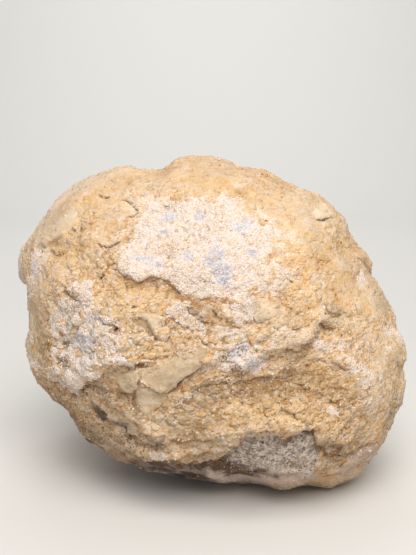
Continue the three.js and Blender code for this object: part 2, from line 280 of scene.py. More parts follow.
# Sugary quartz: how fully it covers, how soft its edge is, how much of it is broken by gaps where the rind
# shows, and its outline.
QUARTZ = {
    FRONT: [
        # the white plateau, and the thinner sugar to its right and above it
        (1.0, 0.7, 0.15, [(148, 203), (157, 200), (178, 201), (197, 201), (204, 203), (216, 202),
            (222, 193), (229, 196), (236, 204), (246, 214), (256, 219), (270, 226), (276, 231), (270, 238),
            (272, 248), (269, 256), (261, 268), (256, 280), (249, 289), (246, 306), (238, 303), (229, 298),
            (216, 297), (203, 298), (190, 293), (184, 295), (175, 287), (169, 281), (161, 275), (153, 274),
            (148, 277), (142, 281), (131, 280), (124, 274), (119, 267), (118, 262), (122, 255), (118, 251),
            (120, 247), (129, 242), (135, 235), (133, 225), (141, 220), (146, 212)]),
        (0.55, 2.4, 0.95, [(232, 196), (262, 206), (292, 225), (306, 250), (300, 282), (276, 300),
            (250, 306), (240, 250)]),
        (0.5, 2.0, 0.95, [(128, 196), (160, 190), (200, 192), (228, 186), (240, 200), (200, 206),
            (150, 208), (126, 240), (112, 262), (110, 240), (124, 214)]),
        # the crystal crust on the left, and the unbroken ledge at its foot
        (1.0, 0.9, 0.75, [(74, 282), (85, 279), (91, 281), (93, 295), (98, 297), (91, 306), (98, 310),
            (110, 315), (117, 321), (124, 328), (124, 335), (118, 345), (114, 350), (121, 353), (129, 361),
            (114, 361), (105, 369), (100, 378), (90, 378), (82, 386), (79, 394), (72, 392), (63, 384),
            (50, 380), (46, 374), (55, 368), (50, 356), (50, 347), (53, 342), (51, 332), (49, 319),
            (60, 301), (63, 295), (68, 289)]),
        (1.0, 0.4, 0.0, [(110, 352), (120, 351), (129, 361), (114, 362)]),
        # the crystal patches under the plateau
        (0.95, 0.5, 0.6, [(177, 304), (185, 301), (193, 304), (197, 311), (204, 316), (202, 323),
            (206, 330), (204, 338), (196, 336), (189, 329), (181, 325), (174, 318), (166, 316),
            (169, 310)]),
        (0.95, 0.5, 0.5, [(228, 301), (238, 304), (245, 300), (252, 305), (255, 315), (254, 323),
            (245, 321), (239, 325), (233, 318), (226, 314), (224, 306)]),
        (0.8, 0.6, 0.7, [(208, 327), (216, 324), (226, 328), (238, 330), (246, 336), (238, 340), (226, 336),
            (214, 338)]),
        (0.9, 0.9, 0.75, [(216, 354), (230, 346), (238, 342), (250, 338), (262, 342), (268, 352),
            (266, 364), (256, 372), (238, 373), (224, 370), (214, 364)]),
        # small patches at the left edge, on the right and under the hollow
        (0.95, 0.5, 0.1, [(26, 357), (33, 356), (41, 369), (36, 372), (29, 366)]),
        (0.7, 1.4, 0.7, [(34, 248), (44, 248), (48, 258), (40, 268), (42, 280), (34, 300), (26, 296),
            (28, 270)]),
        (0.75, 1.2, 0.6, [(314, 340), (330, 341), (348, 344), (346, 352), (328, 354), (316, 350)]),
        (0.6, 1.2, 0.7, [(372, 344), (386, 345), (404, 346), (404, 352), (388, 354), (376, 350)]),
        (0.6, 1.6, 0.8, [(340, 352), (356, 356), (372, 368), (376, 384), (364, 388), (352, 378),
            (342, 366)]),
        (0.7, 1.4, 0.7, [(356, 268), (364, 270), (368, 282), (364, 292), (357, 284)]),
        (0.9, 0.4, 0.4, [(172, 413), (175, 405), (186, 395), (201, 388), (204, 391), (191, 398), (180, 407),
            (175, 415)]),
        (0.95, 0.5, 0.0, [(324, 409), (330, 407), (338, 411), (337, 417), (328, 416)]),
        (0.9, 0.5, 0.3, [(150, 451), (160, 449), (168, 453), (169, 458), (158, 459), (150, 456)]),
    ],
    BACK: [
        (1.0, 0.6, 0.35, [(3, 27), (9, 25), (12, 28), (19, 27), (22, 22), (29, 19), (25, 15), (27, 10),
            (21, 8), (22, 2), (17, 3), (13, -2), (8, 3), (3, 1), (4, 7), (-2, 9), (1, 14), (-4, 17),
            (1, 21)]),
        (0.6, 2.2, 0.95, [(-6, 22), (4, 30), (24, 30), (34, 18), (30, 4), (18, -8), (0, -4), (-8, 8)]),
        (0.95, 0.9, 0.8, [(-40, 6), (-35, 5), (-31, 10), (-27, 7), (-26, 1), (-20, -1), (-24, -6),
            (-27, -13), (-33, -9), (-37, -12), (-36, -4), (-42, -1)]),
        (0.8, 1.2, 0.9, [(-16, -15), (-7, -17), (-3, -14), (5, -19), (11, -18), (7, -24), (-1, -23),
            (-6, -28), (-13, -24), (-19, -24)]),
    ],
    LEFT: [
        (1.0, 0.7, 0.7, [(-15, 10), (-9, 12), (-6, 17), (1, 15), (6, 18), (8, 12), (5, 8), (9, 3), (3, 0),
            (0, 4), (-5, 1), (-9, -3), (-11, 3), (-17, 4)]),
        (0.8, 1.2, 0.9, [(-26, -12), (-19, -14), (-14, -11), (-9, -16), (-4, -15), (-8, -21), (-16, -22),
            (-18, -27), (-24, -22)]),
    ],
    RIGHT: [
        (0.95, 0.8, 0.7, [(2, -7), (7, -4), (10, -8), (15, -5), (22, -7), (18, -12), (20, -16), (13, -15),
            (9, -19), (6, -13), (0, -12)]),
        (0.8, 1.2, 0.85, [(6, 22), (13, 23), (17, 28), (24, 26), (23, 20), (29, 16), (22, 15), (15, 17),
            (11, 14), (8, 18)]),
        (0.7, 1.2, 0.9, [(-30, -4), (-24, -1), (-18, -6), (-14, -14), (-20, -15), (-24, -10)]),
    ],
    TOP: [
        (0.8, 1.2, 0.85, [(5, 20), (11, 21), (16, 26), (21, 21), (28, 20), (22, 14), (15, 13), (10, 9),
            (8, 15)]),
    ],
    UNDER: [
        (0.8, 1.0, 0.8, [(-30, 8), (-20, 14), (-12, 8), (-16, -2), (-26, -2)]),
    ],
}

# Bluish grey in the quartz, in ovals: place, half length and width, turn and strength.
BLUES = {
    FRONT: [(171, 218, 2.6, 1.1, 0, 0.8), (199, 217, 1.3, 1.3, 0, 0.8), (164, 235, 1.5, 1.4, 0, 0.95),
        (220, 273, 2.8, 3.8, 20, 1.0), (214, 258, 3.6, 2.6, 30, 0.75), (250, 253, 1.4, 1.8, 30, 0.9),
        (187, 256, 1.7, 1.4, -20, 0.6), (240, 226, 3.4, 2.0, 0, 0.6), (141, 258, 3.4, 1.4, -10, 0.65),
        (156, 265, 2.0, 2.0, 0, 0.5), (76, 332, 3.6, 1.8, -35, 0.7), (86, 343, 3.0, 2.4, -35, 0.6),
        (93, 322, 3.0, 1.8, 20, 0.5), (92, 354, 3.0, 1.8, -20, 0.5), (122, 358, 1.4, 0.9, -20, 0.5),
        (259, 327, 2.0, 1.6, 0, 0.45), (36, 270, 1.6, 3.4, 10, 0.6), (238, 352, 3.4, 2.0, 10, 0.55),
        (252, 362, 2.4, 1.6, 30, 0.5), (212, 322, 3.0, 1.2, -30, 0.45), (361, 282, 1.0, 2.0, 0, 0.5)],
    BACK: [(14, 16, 5.0, 3.4, 30, 0.9), (4, 8, 3.0, 2.0, -30, 0.6), (-31, -3, 4.0, 3.0, 20, 0.8)],
    LEFT: [(0, 8, 4.0, 3.0, 20, 0.8)],
    RIGHT: [(12, -9, 3.6, 2.6, 0, 0.7)],
}

# Crusts at the foot of the stone: what each is, how soft its edge is, and its outline.
CRUSTS = {
    FRONT: [
        ("grey", 0.5, [(221, 456), (227, 453), (227, 447), (238, 445), (240, 437), (249, 435), (257, 437),
            (266, 433), (280, 434), (291, 436), (299, 430), (309, 429), (313, 434), (314, 444), (320, 450),
            (322, 456), (317, 466), (311, 474), (289, 473), (262, 473), (240, 472), (226, 462)]),
        # the mauve crust, whose darkness is partly painted shade under the stone
        ("mauve", 0.6, [(124, 461), (138, 460), (152, 461), (166, 462), (180, 464), (196, 465), (208, 461),
            (222, 457), (236, 462), (252, 469), (276, 473), (300, 475), (300, 478), (270, 477), (240, 476),
            (216, 484), (196, 482), (180, 480), (160, 480), (140, 474), (126, 468)]),
        ("pale", 0.5, [(204, 466), (210, 470), (216, 475), (240, 475), (270, 476), (300, 475), (316, 472),
            (318, 480), (300, 483), (270, 483), (240, 485), (222, 484), (208, 480)]),
        ("pale", 0.9, [(350, 452), (362, 445), (372, 446), (379, 448), (368, 466), (356, 468), (350, 460)]),
        ("pale", 0.9, [(338, 468), (350, 466), (356, 474), (348, 482), (340, 480)]),
    ],
    BACK: [
        ("pale", 2.4, [(-24, -37), (-16, -35), (-10, -38), (-3, -36), (3, -39), (-4, -42), (-16, -42)]),
        ("grey", 0.8, [(2, -27), (8, -24), (12, -28), (19, -27), (25, -30), (21, -34), (13, -33), (7, -36),
            (0, -32)]),
    ],
    LEFT: [
        ("mauve", 1.6, [(4, -37), (9, -34), (15, -36), (20, -34), (18, -40), (4, -41)]),
    ],
}

# Smooth clay plates: how fully the clay covers, how far it lies above what is round it, and its outline.
CLAY = {
    FRONT: [
        # the swirl under the left end of the brow
        (1.0, 0.0, [(119, 374), (132, 368), (138, 370), (147, 368), (155, 366), (165, 361), (174, 359),
            (184, 355), (199, 351), (216, 345), (208, 358), (199, 367), (189, 374), (184, 379), (177, 383),
            (168, 390), (160, 392), (153, 390), (145, 386), (138, 382), (138, 387), (132, 393), (125, 391),
            (118, 385)]),
        (1.0, 0.0, [(138, 386), (146, 389), (155, 393), (164, 394), (166, 400), (158, 406), (149, 413),
            (143, 415), (138, 408), (134, 399)]),
        # the flake by the crystal crust, and the shaded step below it
        (0.8, 0.3, [(134, 317), (139, 312), (149, 311), (156, 315), (165, 318), (164, 326), (170, 335),
            (167, 337), (156, 335), (153, 330), (147, 322), (139, 318)]),
        (0.8, -0.5, [(133, 318), (139, 318), (147, 322), (153, 330), (156, 335), (167, 337), (163, 341),
            (155, 342), (151, 337), (146, 331), (140, 327), (134, 321)]),
        # torn flakes around the middle, at the foot and in the upper left
        (0.7, 0.2, [(247, 297), (256, 294), (266, 297), (279, 303), (286, 312), (283, 322), (273, 326),
            (263, 319), (253, 309)]),
        (0.6, 0.1, [(287, 338), (297, 331), (308, 328), (315, 333), (311, 343), (300, 350), (289, 349)]),
        (0.5, 0.0, [(205, 306), (214, 308), (224, 315), (232, 320), (226, 325), (215, 321), (206, 316)]),
        (0.9, 0.15, [(99, 403), (108, 402), (117, 409), (122, 417), (131, 424), (140, 430), (138, 434),
            (128, 430), (115, 422), (105, 411)]),
        (0.7, 0.1, [(110, 207), (120, 200), (128, 202), (137, 211), (133, 216), (123, 217), (113, 213)]),
        (0.7, 0.1, [(98, 244), (103, 238), (112, 236), (120, 238), (121, 241), (113, 246), (107, 248)]),
        # pale flakes along the top
        (0.85, 0.1, [(309, 206), (320, 201), (331, 203), (334, 215), (325, 219), (314, 216)]),
        (0.75, 0.0, [(322, 220), (336, 219), (340, 230), (334, 238), (324, 232)]),
        (0.8, 0.05, [(289, 190), (300, 185), (313, 192), (311, 197), (300, 195)]),
        (0.7, 0.0, [(277, 198), (290, 196), (297, 204), (288, 210), (279, 206)]),
        (0.6, 0.0, [(228, 176), (244, 174), (252, 182), (246, 189), (232, 188)]),
        # the dusty shoulder on the left, and the smooth ground under the hollow
        (0.3, 0.0, [(24, 244), (30, 226), (42, 205), (58, 190), (78, 178), (100, 170), (104, 178),
            (86, 190), (79, 204), (78, 222), (74, 230), (59, 235), (50, 240), (38, 245)]),
        (0.5, -0.1, [(166, 419), (180, 415), (198, 418), (200, 430), (186, 440), (170, 436)]),
    ],
    BACK: [
        (0.55, 0.1, [(-24, 27), (-17, 31), (-11, 29), (-5, 32), (-6, 26), (-12, 24), (-15, 20), (-21, 22)]),
        (0.85, 0.2, [(-14, 0), (-9, 1), (-4, -4), (2, -5), (0, -10), (-5, -9), (-8, -14), (-13, -10),
            (-18, -6)]),
        (0.9, 0.15, [(25, -11), (30, -7), (36, -9), (37, -15), (31, -16), (29, -22), (24, -18)]),
        (0.8, 0.15, [(22, 10), (28, 14), (33, 12), (38, 8), (34, 3), (29, 5), (26, 2), (21, 5)]),
    ],
    LEFT: [
        (0.85, 0.15, [(12, 0), (17, 3), (24, 1), (29, -3), (24, -6), (18, -5), (15, -9)]),
        (0.75, 0.1, [(-20, 20), (-13, 24), (-8, 28), (-3, 24), (-7, 20), (-11, 17)]),
    ],
    RIGHT: [
        (0.85, 0.15, [(-25, 3), (-18, 7), (-12, 4), (-6, 6), (-4, 1), (-10, -1), (-13, -5), (-20, -3)]),
        (0.75, 0.1, [(10, 10), (15, 13), (21, 12), (27, 8), (22, 4), (16, 1), (14, 5)]),
    ],
    TOP: [
        (0.4, 0.05, [(-25, 12), (-18, 18), (-10, 15), (-5, 12), (-9, 8), (-15, 9), (-20, 5)]),
    ],
    UNDER: [
        (0.7, 0.1, [(2, 24), (14, 26), (20, 18), (8, 15)]),
    ],
}

# Ledges: how far the skin stands up at the edge on the line's left and how far that reaches, how far it lies
# back on the line's right and how far that reaches, and the line.
LEDGES = {
    FRONT: [
        # the plateau's rim
        (0.25, 1.6, 0.2, 1.0, [(116, 258), (119, 267), (124, 274), (131, 280), (142, 281), (149, 277),
            (154, 274), (161, 275), (169, 281), (175, 287), (184, 295), (188, 297)]),
        (0.15, 1.2, 0.2, 0.8, [(190, 293), (203, 298), (216, 297), (229, 298), (238, 303), (246, 306),
            (252, 300)]),
        # around the flake by the crystal crust
        (0.3, 1.6, 0.4, 1.2, [(131, 312), (136, 309), (142, 308), (150, 310), (156, 313), (165, 315)]),
        (0.35, 1.4, 0.3, 1.0, [(133, 318), (139, 318), (147, 322), (153, 330), (156, 335), (167, 337)]),
        (0.2, 1.4, 0.35, 1.0, [(166, 341), (155, 343), (151, 338), (146, 332), (140, 328), (132, 321)]),
        # around the swirl
        (0.4, 1.6, 0.7, 0.8, [(110, 361), (120, 362), (127, 363), (133, 362), (136, 366), (141, 366),
            (146, 365), (152, 360)]),
        (0.25, 1.4, 0.15, 1.0, [(152, 366), (147, 367), (138, 369), (132, 366), (120, 372)]),
        (0.5, 1.8, 0.8, 1.2, [(116, 383), (125, 391), (132, 393), (137, 388), (138, 382), (145, 386),
            (153, 390), (160, 392), (168, 390), (177, 383), (184, 379), (189, 376), (199, 369),
            (210, 362)]),
        # the brow over the hollow, and torn edges on it and above it
        (0.25, 2.6, 0.4, 2.2, [(172, 412), (176, 407), (184, 400), (195, 391), (207, 384), (219, 382),
            (232, 383), (247, 381), (261, 377), (272, 374), (284, 368), (293, 362), (301, 356)]),
        (0.3, 1.2, 0.4, 0.9, [(281, 358), (289, 351), (298, 349), (304, 342), (313, 340), (318, 331)]),
        (0.3, 1.6, 0.35, 1.0, [(196, 331), (201, 340), (205, 345), (212, 348), (221, 349), (228, 348),
            (236, 345), (245, 341), (255, 340), (263, 338), (274, 333)]),
        (0.4, 1.2, 0.5, 0.9, [(172, 303), (181, 306), (190, 313), (197, 315), (206, 322), (215, 325)]),
        (0.4, 1.2, 0.5, 0.9, [(166, 313), (174, 318), (181, 326), (190, 329), (197, 336)]),
        (0.4, 1.2, 0.5, 0.9, [(203, 306), (212, 309), (220, 316), (231, 319), (239, 327), (247, 329)]),
        (0.35, 1.2, 0.4, 0.9, [(217, 333), (226, 337), (234, 334), (243, 336)]),
        (0.35, 1.2, 0.45, 0.9, [(219, 358), (227, 362), (235, 360), (243, 366), (252, 365)]),
        (0.35, 1.2, 0.4, 0.9, [(268, 352), (277, 349), (284, 352), (295, 345)]),
        # the jagged rim over the foot
        (0.5, 2.4, 1.1, 1.8, [(118, 452), (128, 455), (140, 457), (152, 459), (165, 457), (180, 459),
            (195, 461), (203, 460), (213, 457), (225, 455), (226, 449), (237, 444), (239, 439), (242, 436),
            (248, 434), (257, 436), (264, 433), (276, 433), (285, 436), (291, 434), (303, 429), (313, 430),
            (316, 444), (323, 450), (335, 455), (350, 450), (364, 444)]),
        # the crystal crust's foot, and broken edges on the left
        (0.4, 2.0, 0.7, 1.6, [(42, 370), (50, 380), (63, 384), (72, 392), (79, 395), (82, 386), (90, 378),
            (100, 378), (105, 369), (114, 361)]),
        (0.3, 1.4, 0.7, 1.2, [(86, 396), (95, 402), (101, 410), (106, 418), (112, 425), (126, 430),
            (133, 436), (145, 442), (160, 445)]),
        (0.4, 2.0, 0.6, 1.4, [(26, 253), (38, 248), (44, 245), (51, 241), (59, 236), (68, 233), (75, 229),
            (78, 222), (79, 210)]),
        (0.4, 2.0, 0.8, 1.6, [(42, 253), (50, 250), (58, 252), (66, 250), (74, 252), (81, 249)]),
        (0.4, 3.0, 0.4, 2.0, [(78, 203), (79, 215), (80, 226), (82, 238), (85, 249)]),
        # broken edges on the right, under the hollow and in the crystal crust
        (0.3, 1.8, 0.5, 1.4, [(318, 303), (325, 306), (332, 309), (338, 312), (344, 318)]),
        (0.3, 1.8, 0.5, 1.6, [(312, 320), (318, 322), (325, 326), (332, 328), (338, 335)]),
        (0.5, 2.0, 1.0, 1.8, [(326, 355), (333, 360), (340, 365), (348, 370), (354, 378)]),
        (0.4, 2.2, 0.7, 1.8, [(290, 376), (302, 384), (315, 391), (327, 398), (342, 403), (356, 402)]),
        (0.4, 2.2, 0.7, 1.8, [(262, 402), (274, 408), (288, 412), (300, 420), (316, 424)]),
        (0.4, 2.0, 0.7, 1.6, [(160, 432), (172, 438), (186, 441), (200, 438), (214, 440), (226, 436)]),
        (0.4, 2.0, 0.8, 1.6, [(58, 291), (66, 288), (70, 296), (78, 299), (88, 297)]),
        (0.5, 2.0, 0.9, 1.6, [(50, 330), (56, 338), (62, 342), (66, 336)]),
        (0.5, 1.6, 1.0, 1.4, [(90, 310), (97, 312), (103, 318), (111, 324), (118, 330)]),
    ],
    BACK: [
        (0.25, 2.0, 0.4, 1.4, [(-30, 14), (-25, 8), (-19, 7), (-15, 1), (-9, -1), (-7, -5), (0, -6),
            (5, -11), (13, -12)]),
        (0.3, 1.8, 0.4, 1.4, [(4, 24), (9, 19), (16, 18), (19, 13), (27, 12), (32, 7)]),
        (0.25, 1.8, 0.4, 1.4, [(-24, -22), (-17, -25), (-10, -22), (-4, -26), (3, -25)]),
        (0.35, 1.6, 0.5, 1.2, [(-12, 17), (-6, 13), (-2, 15), (3, 11)]),
        (0.35, 1.6, 0.5, 1.2, [(16, -16), (21, -19), (26, -15), (33, -17)]),
        (0.3, 1.4, 0.4, 1.0, [(-38, -8), (-32, -12), (-27, -9), (-22, -12)]),
        (0.4, 1.6, 0.6, 1.2, [(24, -13), (29, -23), (31, -17), (37, -16), (40, -10)]),
        (0.4, 1.6, 0.6, 1.2, [(19, 5), (25, 1), (29, 4), (34, 1), (39, 4)]),
    ],
    LEFT: [
        (0.25, 1.8, 0.4, 1.4, [(-26, -6), (-21, -2), (-17, -4), (-13, 2), (-6, 3), (-4, 0.5), (2, 4),
            (6, 9), (12, 8)]),
        (0.25, 1.6, 0.4, 1.2, [(-10, -24), (-4, -20), (3, -22), (6, -18), (13, -19)]),
        (0.35, 1.6, 0.5, 1.2, [(-24, 16), (-18, 19), (-13, 15), (-7, 21)]),
    ],
    RIGHT: [
        (0.25, 1.8, 0.4, 1.4, [(-22, 19), (-17, 15.5), (-14, 16.5), (-9, 10), (-5, 9), (-3, 11), (2, 6),
            (5, -1), (11, -3), (13, -8), (20, -9.5)]),
        (0.25, 1.6, 0.4, 1.2, [(0, -22), (6, -17), (12, -19), (16, -15), (24, -16)]),
        (0.35, 1.6, 0.5, 1.2, [(8, 30), (13, 25), (20, 24), (24, 19)]),
        (0.3, 1.4, 0.5, 1.2, [(-28, -14), (-22, -18), (-17, -16), (-12, -21)]),
    ],
    TOP: [
        (0.25, 2.0, 0.35, 1.4, [(26, 12), (19, 18), (13, 16), (7, 22), (-2, 21), (-7, 25)]),
        (0.25, 1.8, 0.35, 1.4, [(-14, 4), (-20, 7), (-25, 3), (-33, 5)]),
    ],
}

# Cracks: half the width, the depth and the line.
CRACKS = {
    FRONT: [
        # around the flakes along the top and beside the plateau
        (0.22, 0.7, [(120, 199), (127, 201), (132, 205), (137, 210), (138, 213), (135, 216), (126, 217)]),
        (0.24, 0.8, [(97, 243), (101, 246), (107, 248), (113, 246), (117, 243), (122, 241)]),
        (0.2, 0.5, [(129, 190), (132, 195), (131, 200)]),
        (0.2, 0.5, [(138, 196), (146, 195)]),
        (0.3, 0.6, [(97, 194), (104, 198), (111, 196)]),
        (0.3, 0.8, [(106, 270), (110, 267), (116, 263)]),
        (0.3, 0.7, [(98, 280), (102, 276), (107, 274)]),
        (0.22, 0.6, [(291, 191), (296, 194), (301, 196)]),
        (0.22, 0.7, [(316, 219), (323, 220), (334, 217)]),
        (0.22, 0.6, [(285, 278), (290, 281), (295, 284)]),
        # in and around the swirl and the flake above it
        (0.2, 0.35, [(200, 337), (203, 343), (209, 347)]),
        (0.15, 0.35, [(166, 398), (163, 404), (158, 408), (150, 413)]),
        # the dark line under the swirl's lower edge is the swirl's painted shadow as well as a carved crack
        (0.18, 0.5, [(138, 381), (138, 388), (143, 389), (149, 387), (155, 391), (160, 394), (168, 393),
            (176, 387), (184, 380)]),
        (0.2, 0.35, [(134, 396), (132, 404), (137, 410), (143, 416)]),
        (0.16, 0.35, [(122, 393), (129, 400), (127, 407)]),
        (0.3, 0.7, [(130, 309), (134, 307), (138, 308)]),
    ],
    BACK: [
        (0.22, 0.5, [(-14, 24), (-10, 19), (-5, 20), (-3, 16)]),
    ],
    LEFT: [
        (0.22, 0.5, [(14, 14), (19, 9), (20, 4)]),
    ],
    TOP: [
        (0.22, 0.5, [(-4, 4), (1, 9), (6, 8), (8, 12)]),
    ],
}

# Hollows and swellings, in ovals: place, half length and width, turn and height.
SWELLS = {
    FRONT: [(140, 287, 4.5, 1.4, 0, -0.4), (168, 300, 7.0, 3.0, -16, 0.9), (210, 304, 8.0, 2.4, -6, 1.0),
        (150, 401, 4.2, 3.0, -30, 0.6), (290, 335, 6.0, 2.4, 34, -0.3), (65, 345, 1.8, 1.6, 40, -1.2),
        (61, 364, 1.8, 2.2, 30, -1.0), (70, 296, 2.0, 1.6, 0, -1.0), (112, 329, 2.4, 1.2, -30, -1.0),
        (335, 314, 2.8, 1.6, -20, -0.5), (326, 327, 2.8, 1.4, -20, -0.4), (288, 381, 3.0, 2.0, 0, -0.8),
        (118, 396, 2.2, 1.6, -30, -0.9), (160, 418, 5.0, 1.6, 20, 0.5), (86, 365, 3.0, 2.0, 0, 0.8),
        (78, 316, 4.0, 2.0, 15, 0.8)],
    TOP: [(-34.2, 3, 1.2, 4, 30, -0.6), (-31.0, 1, 2.4, 4, 10, 0.4), (-21.5, 4, 1.3, 4, -20, -0.7),
        (-18.5, 1, 1.6, 3, 0, 0.4), (-15.4, 0, 1.3, 3, 25, -0.5), (25.4, 2, 1.3, 4, 30, -0.5)],
}
